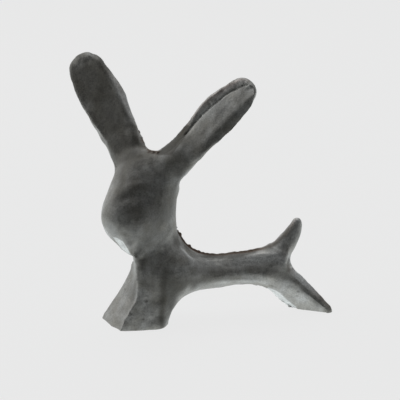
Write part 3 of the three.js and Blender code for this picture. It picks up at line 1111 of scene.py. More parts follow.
        crest = [(248, 90), (258, 99), (218, 148), (190, 166), (182, 148), (204, 128)]
        skin.soften(skin.patch(crest, 4), 40)
        skin.refresh()
        edge = [
            (184, 136), (187, 133), (193.4, 124), (201.3, 115), (209.3, 108), (218, 101), (225.2, 95),
            (233.2, 90), (242.4, 86), (249, 84.5),
        ]
        groove = skin.welt(edge, 1.1, -self.step, 0.3)
        skin.dent(((210, 104), 1.2, 0.35), ((216, 99.5), 1.0, 0.2))
        self.paint_left(skin, groove)

    def paint_left(self, skin: Skin, groove: np.ndarray) -> None:
        """Browns the left ear's rim and paints a highlight on it, paints shade on its root and its band, and
        paints a shadow in the groove along its scoop.

        Args:
            skin: The casting's skin.
            groove: How much each point belongs to the groove.
        """
        outline = [
            (185, 128), (197, 108), (212, 94), (240, 77), (251, 79), (244, 84), (226, 92), (209, 105),
            (193, 121),
        ]
        rim = skin.patch(outline, 1)
        edge = [(176, 139), (190, 121), (200, 107), (212, 97), (227, 86.5), (241, 79.5), (251, 82)]
        skin.paint(Mark.FLASH, np.maximum(rim * 0.45, skin.streak(edge, 2.2) * 0.85))
        # Painted highlight on the rim.
        skin.paint(Mark.PAINTED_HIGHLIGHT, np.maximum(rim * 0.2, skin.around((200, 109), 7) * 0.3))
        # Painted shade over the scoop and the root, then taken off the rim.
        skin.dab(
            Mark.SHADE_AND_SOOT,
            ((240, 93), 7, 0.3), ((218, 110), 9, 0.5), ((200, 134), 9, 0.4), ((182, 150), 10, 0.25),
        )
        skin.paint(Mark.SHADE_AND_SOOT, rim, -0.7)
        # Painted shadow in the groove.
        skin.paint(Mark.SHADE_AND_SOOT, groove * skin.fade((188, 134), (216, 104)), 0.6)
        # Painted shade along the root and the band beyond the scoop.
        skin.stroke(
            Mark.SHADE_AND_SOOT,
            ([(164, 150), (174, 144), (184, 136), (192, 127)], 7, 0.85),
            ([(196, 156), (215, 137), (237, 112), (251, 95)], 7, 0.6),
            ([(190, 144), (212, 122), (238, 97)], 8, 0.25),
            ([(172, 158), (180, 150), (190, 141)], 8, 0.55),
        )
        root = [(156, 156), (166, 140), (184, 122), (192, 126), (184, 140), (172, 156)]
        # Painted shade on the root.
        skin.paint(Mark.SHADE_AND_SOOT, skin.patch(root, 2))
        # Painted shade at the tip and the root.
        skin.dab(
            Mark.SHADE_AND_SOOT,
            ((244, 82), 4, 0.5), ((186, 166), 4, 0.6), ((247, 93), 4, 0.5), ((190, 123), 2.4, 0.8),
            ((245, 89), 4, 0.4),
        )


@dataclass
class Head:
    """The turned head, with a low brow, a blunt muzzle and a facet under the jaw.

    Attributes:
        brow_depth: Depth of the furrow between brow and muzzle.
        brow_width: Width of that furrow.
        jaw_turn: How far the facet under the jaw turns down from the camera, in degrees.
        jaw_most: Most that is planed off the jaw.
    """

    brow_depth: float = 0.4
    brow_width: float = 6.0
    jaw_turn: float = 58.0
    jaw_most: float = 2.0

    def sculpt(self, skin: Skin) -> None:
        """Works the head.

        Args:
            skin: The casting's skin.
        """
        skin.warp(6, [
            ((178, 203), -1.4, 0.0), ((178, 211), -2.1, 0.0), ((178, 219), -2.0, 0.0),
            ((179, 226), -0.9, -0.2), ((106, 230), 0.6, 0.4), ((112, 238), 1.0, 0.8),
            ((119, 244), 0.9, 0.6), ((126, 249), 0.2, -1.2), ((130, 252), 0.0, -2.6),
        ])
        skin.refresh()
        furrow = [(114, 206), (124, 199), (138, 197), (152, 199), (160, 206)]
        skin.welt(furrow, self.brow_width, -self.brow_depth)
        skin.welt([(119, 194), (132, 187), (146, 186), (160, 193)], self.brow_width, 0.3)
        skin.refresh()
        self.cut_jaw(skin)
        crown = skin.welt([(144, 145), (149, 151), (156, 152.2), (162, 151)], 1.6, 0.4, 0.9)
        skin.paint(Mark.FLASH, crown)
        for pixel in ((149.5, 152), (153.5, 152.5), (157.5, 153)):
            skin.dent((pixel, 0.9, -0.6))
            skin.dab(Mark.FLASH, (pixel, 1.6, 0.9))
        self.paint(skin)

    def cut_jaw(self, skin: Skin) -> None:
        """Cuts the facet under the jaw, and paints on it a crescent of highlight, where the facet shows the
        pale floor.

        Args:
            skin: The casting's skin.
        """
        edge = [(112, 236.5), (117, 237.6), (123, 240.5), (127.5, 245), (131.5, 252)]
        jaw = skin.patch([*edge, (134, 260), (118, 258), (102, 240)], 0.8)
        skin.flatten(skin.hinge((115, 237.5), (129, 248), self.jaw_turn), jaw, self.jaw_most)
        skin.warp(4, [
            ((119, 245), 0.0, 0.0), ((123, 247), 0.0, -0.4), ((127.5, 250), 0.2, -1.8),
            ((131.5, 253.5), 0.4, -2.4), ((135, 257.5), 0.8, -1.6),
        ])
        skin.refresh()
        # Painted highlight: the pale floor reflected in the facet.
        crescent = skin.patch([*edge, (126.5, 250.3), (120.5, 246.3), (115.5, 241.5)], 0.8)
        skin.paint(Mark.PAINTED_HIGHLIGHT, crescent * skin.seen(), 0.72)

    def paint(self, skin: Skin) -> None:
        """Paints shade and dark reflections on the cheek and the brow, takes shade off the muzzle, and paints
        highlights along the jaw.

        Args:
            skin: The casting's skin.
        """
        outline = [
            (103, 236), (99, 214), (107, 190), (117, 168), (114, 150), (150, 146), (182, 150), (186, 170),
            (180, 190), (178, 226), (160, 252), (130, 240),
        ]
        # Painted shade and dark reflections over the head, more in spots and along the brow.
        skin.paint(Mark.SHADE_AND_SOOT, skin.patch(outline, 5), 0.45)
        skin.dab(
            Mark.SHADE_AND_SOOT,
            ((150, 160), 9, 0.4), ((132, 158), 8, 0.4), ((172, 162), 8, 0.4), ((168, 198), 12, 0.4),
            ((160, 218), 10, 0.35), ((113, 178), 8, 0.3), ((150, 236), 8, 0.25), ((158, 214), 6, 0.25),
            ((143, 258), 8, 0.55), ((125, 172), 8, 0.5), ((180, 172), 4, 0.6), ((127, 212), 5, 0.25),
            ((119, 196), 5, 0.5), ((178, 240), 5, 0.75), ((148, 247), 4, 0.5), ((136, 245), 3, 0.3),
            ((112, 204), 4, 0.4), ((125, 187), 4, 0.3), ((141, 212), 5, 0.4), ((138, 158), 8, 0.4),
            ((180, 175), 3, 0.4),
        )
        skin.stroke(
            Mark.SHADE_AND_SOOT,
            ([(125, 164), (122, 178), (118, 192), (112, 206)], 6, 0.6),
            ([(118, 204), (122, 193), (133, 187), (147, 186), (158, 191), (160, 201)], 5, 0.45),
            ([(122, 201), (137, 198.5), (153, 200)], 2.6, -0.35),
        )
        # Takes painted shade off the muzzle and the jaw.
        skin.dab(
            Mark.SHADE_AND_SOOT,
            ((152, 173), 8, -0.9), ((120, 227), 7, -0.8), ((131, 224), 6, -0.6), ((107, 232), 6, -0.9),
            ((173, 222), 4, -0.6), ((164, 264), 6, -0.4),
        )
        # Painted highlights along the jaw.
        skin.dab(Mark.PAINTED_HIGHLIGHT, ((107, 233), 4, 0.25), ((106, 222), 3, 0.12), ((118, 228), 6, 0.08))


@dataclass
class Torso:
    """The slim body, with mould flash along its back and belly.

    Attributes:
        flash: Height of the flash on the back.
        nape_flash: Height of the flash on the nape.
        belly_flash: Height of the flash on the belly.
        sag: How far the sides are moved out low down, and in higher up.
        side_ends: Where the moved length of the sides starts and ends, as pixels across.
        side_fade: How many pixels inside these the move is full.
        side_middle: The height on the sides that stays, as pixels down.
        side_half: How many pixels above and below it the move ends.
        flash_start: How far behind the origin the back's flash starts.
        nape_end: Where the nape's flash ends, and over what length it fades.
        back_end: The same for the back's flash.
        head_height: Height above which the head begins, and the back's flash ends.
        belly_start: Where the belly's flash is missing still, and over what length it comes.
        belly_end: Where it is gone, and over what length it fades.
    """

    flash: float = 0.45
    nape_flash: float = 0.4
    belly_flash: float = 0.8
    sag: float = 0.7
    side_ends: tuple[float, float] = (190.0, 286.0)
    side_fade: float = 16.0
    side_middle: float = 269.5
    side_half: float = 15.5
    flash_start: float = 13.0
    nape_end: tuple[float, float] = (30.0, 6.0)
    back_end: tuple[float, float] = (56.0, 8.0)
    head_height: float = 46.0
    belly_start: tuple[float, float] = (18.0, 8.0)
    belly_end: tuple[float, float] = (62.0, 10.0)

    def sculpt(self, skin: Skin) -> None:
        """Works the body.

        Args:
            skin: The casting's skin.
        """
        skin.warp(6, [
            ((182, 234), -1.1, -0.6), ((187, 241), -1.2, -1.2), ((192, 246), -1.6, -2.7),
            ((198, 250), -1.0, -3.0), ((206, 252), -0.2, -1.9), ((214, 253), 0.0, -1.1),
            ((222, 253), 0.0, -0.8), ((172, 308), -0.6, 0.6), ((176, 302), -1.0, 1.5),
            ((182, 296), -0.8, 2.0), ((190, 292), -0.3, 1.8), ((198, 290), 0.0, 0.5),
            ((216, 286.5), 0.0, -0.6), ((243, 284), 0.0, 0.6),
        ])
        self.lower_sides(skin)
        skin.refresh()
        self.raise_back_flash(skin)
        self.raise_belly_flash(skin)
        # A low welt along the shoulder, whose shade is taken off and a highlight painted on.
        streak = skin.welt([(179, 245), (184, 252), (190, 258), (196, 262)], 3.4, 0.3, 0.3)
        skin.paint(Mark.SHADE_AND_SOOT, streak, -1)
        skin.paint(Mark.PAINTED_HIGHLIGHT, streak, 0.65)
        self.paint(skin)

    def paint(self, skin: Skin) -> None:
        """Paints shade on the nape, the chest and the belly, and painted highlights on the upper side.

        Args:
            skin: The casting's skin.
        """
        # Painted shade along the nape, the back and under the chest.
        skin.stroke(
            Mark.SHADE_AND_SOOT,
            ([(175, 224), (180, 233), (186, 242), (193, 248), (202, 252)], 6, 0.75),
            ([(198, 254), (212, 256), (236, 255.5), (262, 251)], 3.4, 0.75),
            ([(168, 300), (176, 290), (190, 282), (208, 279), (232, 279), (258, 279)], 5, 0.5),
            ([(196, 255), (210, 257), (228, 257.5), (250, 255)], 2.6, 0.6),
        )
        # Painted shade in spots on the chest, the belly and the hip.
        skin.dab(
            Mark.SHADE_AND_SOOT,
            ((190, 276), 7, 0.5), ((181, 285), 5, 0.6), ((208, 273), 8, 0.3), ((284, 275), 5.5, 0.7),
            ((176, 283), 8, 0.5), ((196, 284), 4, 0.5), ((256, 277), 5, 0.3), ((268, 249), 3, 0.5),
            ((194, 286), 3.5, 0.4), ((272, 248), 5, 0.4),
        )
        # Painted highlights along the side and the belly, which lighten its dark reflection.
        skin.stroke(
            Mark.PAINTED_HIGHLIGHT,
            ([(198, 265), (222, 265), (244, 262), (265, 259), (286, 257)], 6, 0.17),
            ([(236, 263), (262, 261), (290, 258)], 5, 0.14),
            ([(212, 283), (240, 281), (270, 284)], 4, 0.15),
        )
        skin.dab(Mark.PAINTED_HIGHLIGHT, ((268, 260), 7, 0.22), ((284, 259), 4, 0.12))

    def lower_sides(self, skin: Skin) -> None:
        """Moves the fullest line of both sides down.

        Args:
            skin: The casting's skin.
        """
        for side in (-1, 1):
            across, down = PHOTO.pixels(skin.points * (1, -side, 1)).T
            start, end = self.side_ends
            span = np.clip((across - start) / self.side_fade, 0, 1)
            span *= np.clip((end - across) / self.side_fade, 0, 1)
            wave = np.sin(np.pi * np.clip((down - self.side_middle) / self.side_half, -1, 1))
            out = np.clip(skin.points[:, 1] * side / (1.5 * MM), 0, 1)
            skin.points[:, 1] += side * (self.sag * MM) * span * wave * out

    def raise_back_flash(self, skin: Skin) -> None:
        """Raises the ragged flash from the nape along the back to the tail, browns it, and paints shade beside
        it.

        Args:
            skin: The casting's skin.
        """
        x, y, z = skin.points.T
        middle = dome(np.abs(y), 0.8 * MM)
        upper = (skin.normals[:, 2] > 0.2) & (x > self.flash_start * MM) & (z < self.head_height * MM)
        nape = self.until(x, *self.nape_end)
        back = self.until(x, *self.back_end)
        ragged = self.waves(skin, 1.6)
        height = self.flash * back * (0.6 + 0.8 * ragged) + self.nape_flash * nape * (0.2 + 1.2 * ragged)
        skin.lift(middle * upper * height * MM)
        wide = dome(np.abs(y + 0.4 * MM), 1.9 * MM) * upper
        skin.paint(Mark.FLASH, wide * np.maximum(nape, back), 1.5)
        # Painted shade along the back's flash, less on the nape.
        skin.paint(Mark.SHADE_AND_SOOT, wide * back * (1 - 0.5 * nape), 0.7)

    def raise_belly_flash(self, skin: Skin) -> None:
        """Raises the thin flash along the belly.

        Args:
            skin: The casting's skin.
        """
        x, y, z = skin.points.T
        middle = dome(np.abs(y), 0.7 * MM)
        lower = (skin.normals[:, 2] < -0.4) & (z > 4 * MM)
        start, rise = self.belly_start
        span = np.clip((x - start * MM) / (rise * MM), 0, 1) * self.until(x, *self.belly_end)
        height = self.belly_flash * MM * (0.6 + 0.5 * self.waves(skin, 4))
        skin.lift(middle * lower * span * height)

    def until(self, x: np.ndarray, end: float, fade: float) -> np.ndarray:
        """1 along the body, fading to 0 at an end."""
        return np.clip((end * MM - x) / (fade * MM), 0, 1)

    def waves(self, skin: Skin, size: float) -> np.ndarray:
        """An uneven height along the body, from 0 to 1, with waves of that size."""
        x, _, z = skin.points.T / (size * MM)
        return np.array([0.5 + noise.noise(Vector((a, 0.3, b))) for a, b in zip(x, z)])


@dataclass
class Forelegs:
    """The joined forelegs: a post with a flat front, flat sides and a ridge between them.

    Attributes:
        front_reach: How far ahead of the origin the front meets the ground.
        front_normal: Where the front faces.
        side_turn: How far the near side turns left from the camera, in degrees.
        most: Most that the front is planed.
        side_most: Most that the sides are planed.
    """

    front_reach: float = 10.6
    front_normal: Size = (-0.906, -0.195, 0.437)
    side_turn: float = -4.0
    most: float = 2.0
    side_most: float = 0.7

    def sculpt(self, skin: Skin) -> None:
        """Works the forelegs.

        Args:
            skin: The casting's skin.
        """
        ridge = [(136, 258), (137, 276), (137.5, 290), (136.5, 300), (131, 310), (123, 330)]
        front_outline = [*ridge, (118, 338), (90, 328), (90, 306), (128, 254)]
        side_outline = [*ridge[2:], (124, 342), (166, 342), (170, 300), (168, 276), (140, 274)]
        front = Plane(Vector((-self.front_reach * MM, 0, 0)), Vector(self.front_normal).normalized())
        side = skin.hinge((137, 282), (131, 311), self.side_turn)
        skin.flatten(front, skin.patch(front_outline, 2), self.most, 1.0)
        for mirrored in (False, True):
            place = side.mirrored() if mirrored else side
            skin.flatten(place, skin.patch(side_outline, 12, mirrored), self.side_most, 1.0)
        skin.refresh()
        skin.soften(skin.patch([(126, 250), (172, 250), (172, 336), (116, 336)], 10), 14)
        self.set_outline(skin)
        skin.dent(((117, 326), 4.5, 0.6), ((160, 326), 5, -0.9))
        skin.welt([(137, 272), (137.5, 290), (136, 302), (130, 312), (125, 322)], 2.4, 0.12, 0.4)
        # Pits, each with painted shade in it.
        for pixel, radius, depth in (
            ((146, 300), 1.3, 0.25), ((130.3, 313), 1.1, 0.25), ((124.5, 321), 1.0, 0.2),
            ((143.5, 318.5), 0.9, 0.12), ((125, 290), 0.9, 0.15), ((131, 281), 0.8, 0.15),
        ):
            skin.dent((pixel, radius, depth))
            skin.dab(Mark.SHADE_AND_SOOT, (pixel, radius, 0.4))
        # A shallow groove where the side turns back, with painted shade in it.
        band = skin.welt([(162, 262), (163, 275), (163.5, 290), (163, 310), (160.5, 334)], 6, -0.3)
        skin.paint(Mark.SHADE_AND_SOOT, band, 0.75)
        self.paint(skin)
        # Painted shade over the front.
        skin.paint(Mark.SHADE_AND_SOOT, skin.patch(front_outline, 4), 0.3)
        skin.refresh()
        skin.roughen(1.0, 0.08, skin.patch(front_outline, 3))

    def set_outline(self, skin: Skin) -> None:
        """Moves the front's outline, and the ridge beside it, to where they belong.

        Args:
            skin: The casting's skin.
        """
        skin.warp(6, [
            ((126, 249), 0.0, -0.5), ((130, 252), 0.0, -4.0), ((133, 254), 0.0, -7.0),
            ((134, 257), 2.5, -5.0), ((131, 264), 6.4, 0.0), ((127, 274), 5.3, 0.0),
            ((122, 284), 4.3, 0.2), ((116, 294), 3.2, 0.3), ((110, 305), 1.8, 0.4),
            ((103, 317), 0.2, 0.0), ((140, 262), -2.0, 0.0), ((138.5, 275), 0.5, 0.0),
            ((136.5, 290), 1.6, 0.0), ((133, 301), 5.0, 0.0), ((128, 311), 2.4, 0.0),
            ((121, 329), 0.4, 0.0),
        ])
        skin.warp(3.5, [
            ((130, 266), 0.0, 0.0), ((127, 275), 0.0, 0.0), ((139.5, 262), -3.0, 0.0),
            ((140, 270), -3.5, 0.0), ((140, 279), -3.0, 0.0), ((139, 288), -1.0, 0.0),
        ])
        skin.refresh()

    def paint(self, skin: Skin) -> None:
        """Paints shade on the side, most along the band where it turns back.

        Args:
            skin: The casting's skin.
        """
        # Painted shade along the turning band, the side and the ridge.
        skin.stroke(
            Mark.SHADE_AND_SOOT,
            ([(163.5, 272), (164, 300), (161.5, 334)], 4, 0.7),
            ([(171, 268), (173, 290), (171, 310), (168, 334)], 9, 0.85),
            ([(158, 284), (158, 300), (157, 318)], 7, 0.3),
            ([(140, 248), (141, 262), (142, 274), (142, 288)], 7, 0.8),
            ([(167, 264), (168.5, 290), (167, 316)], 5, 0.4),
            ([(136, 266), (135, 290), (129, 308), (121, 324)], 6, 0.35),
        )
        skin.dab(
            Mark.SHADE_AND_SOOT,
            ((145, 312), 8, 0.2), ((161, 316), 5, 0.4), ((150, 290), 12, 0.4), ((153, 281), 6, 0.6),
            ((131, 290), 6, 0.35), ((123, 309), 4, 0.25), ((169, 271), 3, 0.3),
        )


@dataclass
class HindLegs:
    """The splayed hind legs: a narrow outer face, and a broad face turned to the ground.

    Attributes:
        under_turn: How far the broad face turns down from the camera, in degrees.
        outer_turn: How far the narrow face turns down from the camera, in degrees.
        top_turn: How far the strip along the top edge turns down, in degrees.
        keel_turn: How far the strip along the inner edge turns down, in degrees.
        most: Most that is planed off.
        far_keel: How much deeper the hidden leg's inner edge is cut.
    """

    under_turn: float = 42.0
    outer_turn: float = -4.0
    top_turn: float = -42.0
    keel_turn: float = 64.0
    most: float = 1.8
    far_keel: float = 0.7

    def sculpt(self, skin: Skin) -> None:
        """Works both hind legs alike.

        Args:
            skin: The casting's skin.
        """
        crease = [(285, 280.5), (295, 284.5), (305, 291), (313, 298), (321, 304.8), (328, 311)]
        border = [(288, 272), (300, 283), (312, 294), (322, 302.5), (330, 309.5)]
        under_outline = [(262, 282), *crease, (326, 320), (294, 318), (258, 292)]
        outer_outline = [(278, 268), *border, *crease[::-1]]
        top_outline = [*border, (338, 308), (300, 268), (286, 262)]
        under = skin.hinge((295, 284.5), (321, 304.8), self.under_turn)
        outer = skin.hinge((295, 284.5), (321, 304.8), self.outer_turn)
        top = skin.hinge((292, 275.5), (322, 302.5), self.top_turn)
        start = skin.fade((274, 285), (294, 290))
        for place, outline, soft, fill in (
            (under, under_outline, 1.5, 1.0), (outer, outer_outline, 1.5, 0.0), (top, top_outline, 1, 0.0)
        ):
            for mirrored in (False, True):
                share = skin.patch(outline, soft, mirrored) * start
                skin.flatten(place.mirrored() if mirrored else place, share, self.most, fill)
            skin.refresh()
        skin.warp(5, [
            ((268, 286), 0.0, 0.1), ((273, 290), -0.6, -0.8), ((278, 295), -1.2, -1.8),
            ((283, 300), -0.9, -1.3), ((288, 306), 0.8, 1.0), ((294, 309), 0.4, 0.4),
            ((331, 309), -0.9, 0.0),
        ])
        hip = [(262, 262), (294, 266), (314, 290), (304, 304), (284, 298), (260, 284)]
        skin.soften(skin.patch(hip, 7), 50)
        skin.refresh()
        self.cut_keel(skin)
        # Painted shade and dark reflection on the narrow outer face.
        band = skin.patch([(262, 266), (280, 270), *border, *crease[::-1], (272, 279), (260, 277)], 3)
        skin.paint(Mark.SHADE_AND_SOOT, band, 0.35)
        self.paint(skin, top_outline)

    def cut_keel(self, skin: Skin) -> None:
        """Cuts the facets along both legs' inner edges, and paints a highlight on the near one.

        Args:
            skin: The casting's skin.
        """
        keel = [(268, 287), (275, 289.5), (281, 293), (287, 299), (293, 304), (297, 307)]
        outline = [*keel, (296, 316), (280, 308), (262, 292)]
        near = skin.hinge((275, 289.5), (293, 304), self.keel_turn)
        far = Plane(near.point - near.normal * self.far_keel * MM, near.normal).mirrored()
        for place, mirrored in ((near, False), (far, True)):
            skin.flatten(place, skin.patch(outline, 1, mirrored), self.most)
            skin.refresh()
            skin.soften(skin.patch(outline, 1.5, mirrored), 8)
        skin.refresh()
        # Painted highlight on the near facet.
        skin.paint(Mark.PAINTED_HIGHLIGHT, skin.patch(outline, 1) * skin.seen(), 0.6)

    def paint(self, skin: Skin, top_outline: list[Pixel]) -> None:
        """Paints a highlight on the strip along the top edge and shade below it, and pits the broad face, with
        shade in the pits.

        Args:
            skin: The casting's skin.
            top_outline: Outline of the strip along the top edge.
        """
        # Painted shade below the top strip.
        skin.stroke(Mark.SHADE_AND_SOOT, ([(300, 287), (312, 297), (324, 306.5)], 4, 0.5))
        top = skin.patch(top_outline, 1)
        strip = top * skin.fade((290, 270), (298, 277)) * (1 - skin.fade((302, 281), (320, 299)))
        # Takes the shade off the top strip and paints a highlight on it, which is browned too.
        skin.paint(Mark.SHADE_AND_SOOT, strip, -1)
        skin.paint(Mark.PAINTED_HIGHLIGHT, strip, 0.8)
        skin.paint(Mark.FLASH, top, 0.3)
        # Painted shade in spots along the leg.
        skin.dab(
            Mark.SHADE_AND_SOOT,
            ((289, 268), 4, 0.6), ((291, 262), 2.5, 0.4), ((288, 279), 3, 0.3), ((306, 289), 3.5, 0.3),
            ((318, 303), 4, 0.4), ((328, 310), 3, 0.35),
        )
        # Painted highlights on the broad face.
        skin.dab(
            Mark.PAINTED_HIGHLIGHT,
            ((290, 288), 5, 0.15), ((286.5, 303), 2.5, 0.8), ((266, 283), 3, 0.2),
            ((306, 301), 6, 0.12),
        )
        # Pits with painted shade in them.
        for pixel in ((272, 286), (276, 287), (282, 292), (298, 291), (297, 296)):
            skin.dent((pixel, 0.8, 0.12))
            skin.dab(Mark.SHADE_AND_SOOT, (pixel, 0.9, 0.3))


@dataclass
class Tail:
    """The short pointed tail.

    Attributes:
        notch: Depth of the notch behind its root.
    """

    notch: float = 0.5

    def sculpt(self, skin: Skin) -> None:
        """Works the tail, and paints shade on its upper side and a highlight at its tip.

        Args:
            skin: The casting's skin.
        """
        skin.warp(4, [
            ((297, 217), 0.2, -2.0), ((291, 223), 1.3, -1.2), ((285, 229), 0.7, -0.6),
            ((277, 238), -0.3, 0.7), ((268, 244), -0.3, 1.4), ((258, 248), 0.0, 0.6),
            ((301, 221), 0.8, -0.8), ((301, 228), 2.3, 0.0), ((299, 236), 2.0, 0.0),
            ((297, 243), 0.6, 0.0), ((296, 249), -1.2, 0.0), ((296, 256), -4.2, 0.0),
            ((295, 263), -5.0, 0.0), ((298, 269), -1.4, 0.0),
        ])
        skin.refresh()
        skin.dent(((289.5, 259), 1.2, self.notch))
        # Painted shade in the notch.
        skin.dab(Mark.SHADE_AND_SOOT, ((289.5, 259), 1.0, 0.7))
        skin.welt([(282, 259), (287, 263)], 1.4, 0.3)
        brown = [(262, 248), (284, 232), (296, 214), (299, 220), (290, 234), (272, 250)]
        skin.paint(Mark.FLASH, skin.patch(brown, 3), 0.4)
        # Painted shade along the upper side of the tail.
        skin.stroke(Mark.SHADE_AND_SOOT, ([(264, 248), (276, 243), (284, 235), (291, 226), (296, 219)], 4.5, 0.75))
        # Painted shade beside the tail, none at its tip.
        skin.dab(Mark.SHADE_AND_SOOT, ((297, 236), 4, 0.4), ((298, 221), 2.2, -1), ((293, 243), 3, 0.35))
        # Painted highlights at the tip and on the side.
        skin.dab(Mark.PAINTED_HIGHLIGHT, ((298, 221), 2.2, 0.35), ((294, 232), 3, 0.12))


@dataclass
class Piece:
    """One piece of the finished casting.

    Attributes:
        node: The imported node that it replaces.
        finish: Its finish.
    """

    node: str
    finish: CastIron

    def dress(self, bm: bmesh.types.BMesh) -> bpy.types.Object:
        """Makes the piece's object, with its finish, in place of its node.

        Args:
            bm: The piece's closed mesh, which is used up.

        Returns:
            The object.
        """
        mesh = bpy.data.meshes.new(self.node + "_iron")
        bm.to_mesh(mesh)
        bm.free()
        mesh.materials.append(self.finish.material())
        keep_normals(mesh)
        piece = bpy.data.objects.new(self.node + "_iron", mesh)
        bpy.context.scene.collection.objects.link(piece)
        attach(piece, "root")
        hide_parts(self.node)
        log.info("%s: %d faces", piece.name, len(mesh.polygons))
        return piece


def keep_normals(mesh: bpy.types.Mesh) -> None:
    """Shades a piece with the normals of the whole skin, and its seam faces flat.

    Args:
        mesh: The piece's mesh, with the skin's normals on its points.
    """
    count = len(mesh.vertices)
    normals = np.empty(count * 3, np.float32)
    mesh.attributes[SKIN_NORMAL].data.foreach_get("vector", normals)
    normals = normals.reshape(-1, 3)
    corners = np.empty(len(mesh.loops), np.int32)
    mesh.loops.foreach_get("vertex_index", corners)
    mesh.polygons.foreach_set("use_smooth", np.ones(len(mesh.polygons), bool))
    flat = np.empty(len(mesh.polygons), bool)
    mesh.attributes[SEAM_FACE].data.foreach_get("value", flat)
    face_normals = np.empty(len(mesh.polygons) * 3, np.float32)
    mesh.polygons.foreach_get("normal", face_normals)
    face_normals = face_normals.reshape(-1, 3)
    totals = np.empty(len(mesh.polygons), np.int32)
    mesh.polygons.foreach_get("loop_total", totals)
    of_corner = np.repeat(np.arange(len(mesh.polygons)), totals)
    chosen = np.where(flat[of_corner][:, None], face_normals[of_corner], normals[corners])
    mesh.normals_split_custom_set(chosen)
    mesh.attributes.remove(mesh.attributes[SKIN_NORMAL])
    mesh.attributes.remove(mesh.attributes[SEAM_FACE])


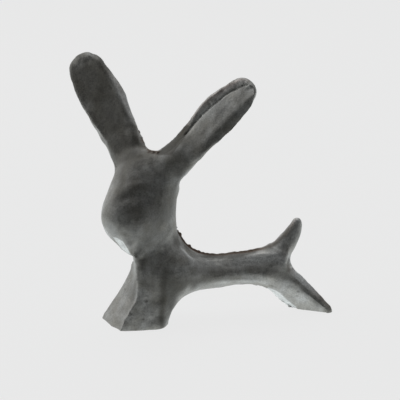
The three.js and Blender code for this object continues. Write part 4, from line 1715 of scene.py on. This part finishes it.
class Casting:
    """The whole figurine: its blank, its worked skin and its pieces.

    Attributes:
        SMOOTHING: How often the blank is smoothed.
        EDGE_ON: How squarely a point faces the camera where the painted shade on the far side begins.
        FAR_SHADE: How much painted shade the side turned away from the camera gets.
        PAIRS: The nodes that meet.
    """

    SMOOTHING = 30
    EDGE_ON = 0.15
    FAR_SHADE = 0.6
    PAIRS = [
        ("head", "left_ear"),
        ("head", "right_ear"),
        ("torso", "head"),
        ("torso", "tail"),
        ("torso", "left_hind_leg"),
        ("torso", "right_hind_leg"),
        ("left_hind_leg", "right_hind_leg"),
        ("torso", "forelegs"),
    ]

    def __init__(self) -> None:
        """Wraps the blank and smooths it."""
        self.blank = Blank()
        mesh = self.blank.skin(self.PAIRS)
        self.skin = Skin(mesh)
        self.skin.relax(self.SMOOTHING)
        log.info("blank: %d points", len(self.skin.points))

    def work(self) -> None:
        """Works the skin, part by part, paints shade on the side turned from the camera, and then makes it
        uneven all over.
        """
        for part in (Ears(), Head(), Torso(), Forelegs(), HindLegs(), Tail()):
            part.sculpt(self.skin)
            self.skin.refresh()
            log.info("worked: %s", type(part).__name__)
        self.even_out()
        # Painted shade on the side turned away from the camera.
        far = np.clip(self.EDGE_ON - self.skin.facing(), 0, 1)
        self.skin.paint(Mark.SHADE_AND_SOOT, far, self.FAR_SHADE)
        self.skin.roughen(6.0, 0.06)
        self.skin.roughen(1.3, 0.04)
        self.keep_in_box()
        self.skin.refresh()

    def even_out(self) -> None:
        """Paints shade on the last small places, or takes it off, and a highlight along the body."""
        # Painted shade, added and taken off in small spots.
        self.skin.dab(
            Mark.SHADE_AND_SOOT,
            ((240, 101), 4, 0.5), ((205, 117), 4, 0.35), ((200, 123), 3, 0.3), ((185, 140), 4, 0.5),
            ((194, 146), 4, 0.4), ((180, 162), 3, -0.4), ((129, 120), 3, -0.4), ((117, 162), 3, 0.6),
            ((141, 156), 5, 0.4), ((139, 255), 3, -0.5), ((142, 275), 3, -0.4), ((165, 322), 4, 0.3),
            ((167, 272), 3, 0.35), ((165, 227), 3.5, -0.5), ((190, 255), 3, -0.4),
            ((206, 265), 4, -0.3), ((226, 267), 4, -0.3), ((205, 282), 4, 0.4), ((180, 292), 4, 0.4),
            ((247, 87), 3, -0.4), ((136.5, 256), 2, -0.6), ((137, 262), 1.5, 0.4),
            ((137.5, 268), 1.5, 0.5), ((138, 275), 1.5, 0.4), ((151, 325), 3, 0.3),
            ((121, 160), 3, 0.4), ((276, 262), 4, -0.4),
        )
        # Painted highlight along the body's side.
        self.skin.stroke(Mark.PAINTED_HIGHLIGHT, ([(242, 259), (264, 259), (288, 262)], 4, 0.3))

    def keep_in_box(self) -> None:
        """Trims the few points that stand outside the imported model's box."""
        low, high = (np.array(corner) for corner in CAD_BOX)
        low[2] -= Blank.SUNK * 2
        self.skin.points = np.clip(self.skin.points, low + 0.01 * MM, high - 0.01 * MM)

    def part(self) -> dict[str, bmesh.types.BMesh]:
        """Cuts the worked skin along the seams.

        Returns:
            A closed mesh for each node.
        """
        skin = self.skin
        skin.refresh()
        skin.mesh.attributes.new(SKIN_NORMAL, "FLOAT_VECTOR", "POINT").data.foreach_set(
            "vector", skin.normals.astype(np.float32).ravel()
        )
        skin.mesh.attributes.new(SEAM_FACE, "BOOLEAN", "FACE")
        for mark, values in skin.marks.items():
            skin.mesh.attributes.new(mark.value, "FLOAT", "POINT").data.foreach_set(
                "value", np.clip(values, 0, 1).astype(np.float32)
            )
        rest = bmesh.new()
        rest.from_mesh(skin.mesh)
        seams = self.blank.seams
        _, rest = split(rest, Seam(Vector(CAD_BOX[0]), UP))
        pieces = {}
        rest, pieces["left_ear"] = split(rest, seams["head", "left_ear"])
        rest, pieces["right_ear"] = split(rest, seams["head", "right_ear"])
        rest, pieces["head"] = split(rest, seams["torso", "head"])
        rest, pieces["tail"] = split(rest, seams["torso", "tail"])
        rest, legs = split(rest, seams["torso", "left_hind_leg"])
        between = seams["left_hind_leg", "right_hind_leg"]
        pieces["left_hind_leg"], pieces["right_hind_leg"] = split(legs, between)
        pieces["torso"], pieces["forelegs"] = split(rest, seams["torso", "forelegs"])
        return pieces


def split(bm: bmesh.types.BMesh, seam: Seam) -> tuple[bmesh.types.BMesh, bmesh.types.BMesh]:
    """Cuts a closed mesh in two.

    Args:
        bm: The mesh, which is used up.
        seam: Where to cut.

    Returns:
        What lies behind the seam and what lies in front of it, both closed.
    """
    halves = []
    for in_front in (False, True):
        half = bm.copy()
        geometry = [*half.verts, *half.edges, *half.faces]
        bmesh.ops.bisect_plane(
            half,
            geom=geometry,
            dist=0.0001 * MM,
            plane_co=seam.point,
            plane_no=seam.normal,
            clear_outer=not in_front,
            clear_inner=in_front,
        )
        rim = [edge for edge in half.edges if edge.is_boundary]
        caps = bmesh.ops.holes_fill(half, edges=rim, sides=0)["faces"]
        layer = half.faces.layers.bool[SEAM_FACE]
        for face in caps:
            face[layer] = True
        bmesh.ops.triangulate(half, faces=caps)
        halves.append(half)
    bm.free()
    return halves[0], halves[1]


def main() -> None:
    """Builds the camera, the studio and the pieces."""
    bpy.context.scene.view_settings.view_transform = "Standard"
    PHOTO.build()
    Studio().build()
    casting = Casting()
    casting.work()
    iron = CastIron("rough_iron")
    for node, bm in casting.part().items():
        Piece(node, iron).dress(bm)


if __name__ == "__main__":
    main()
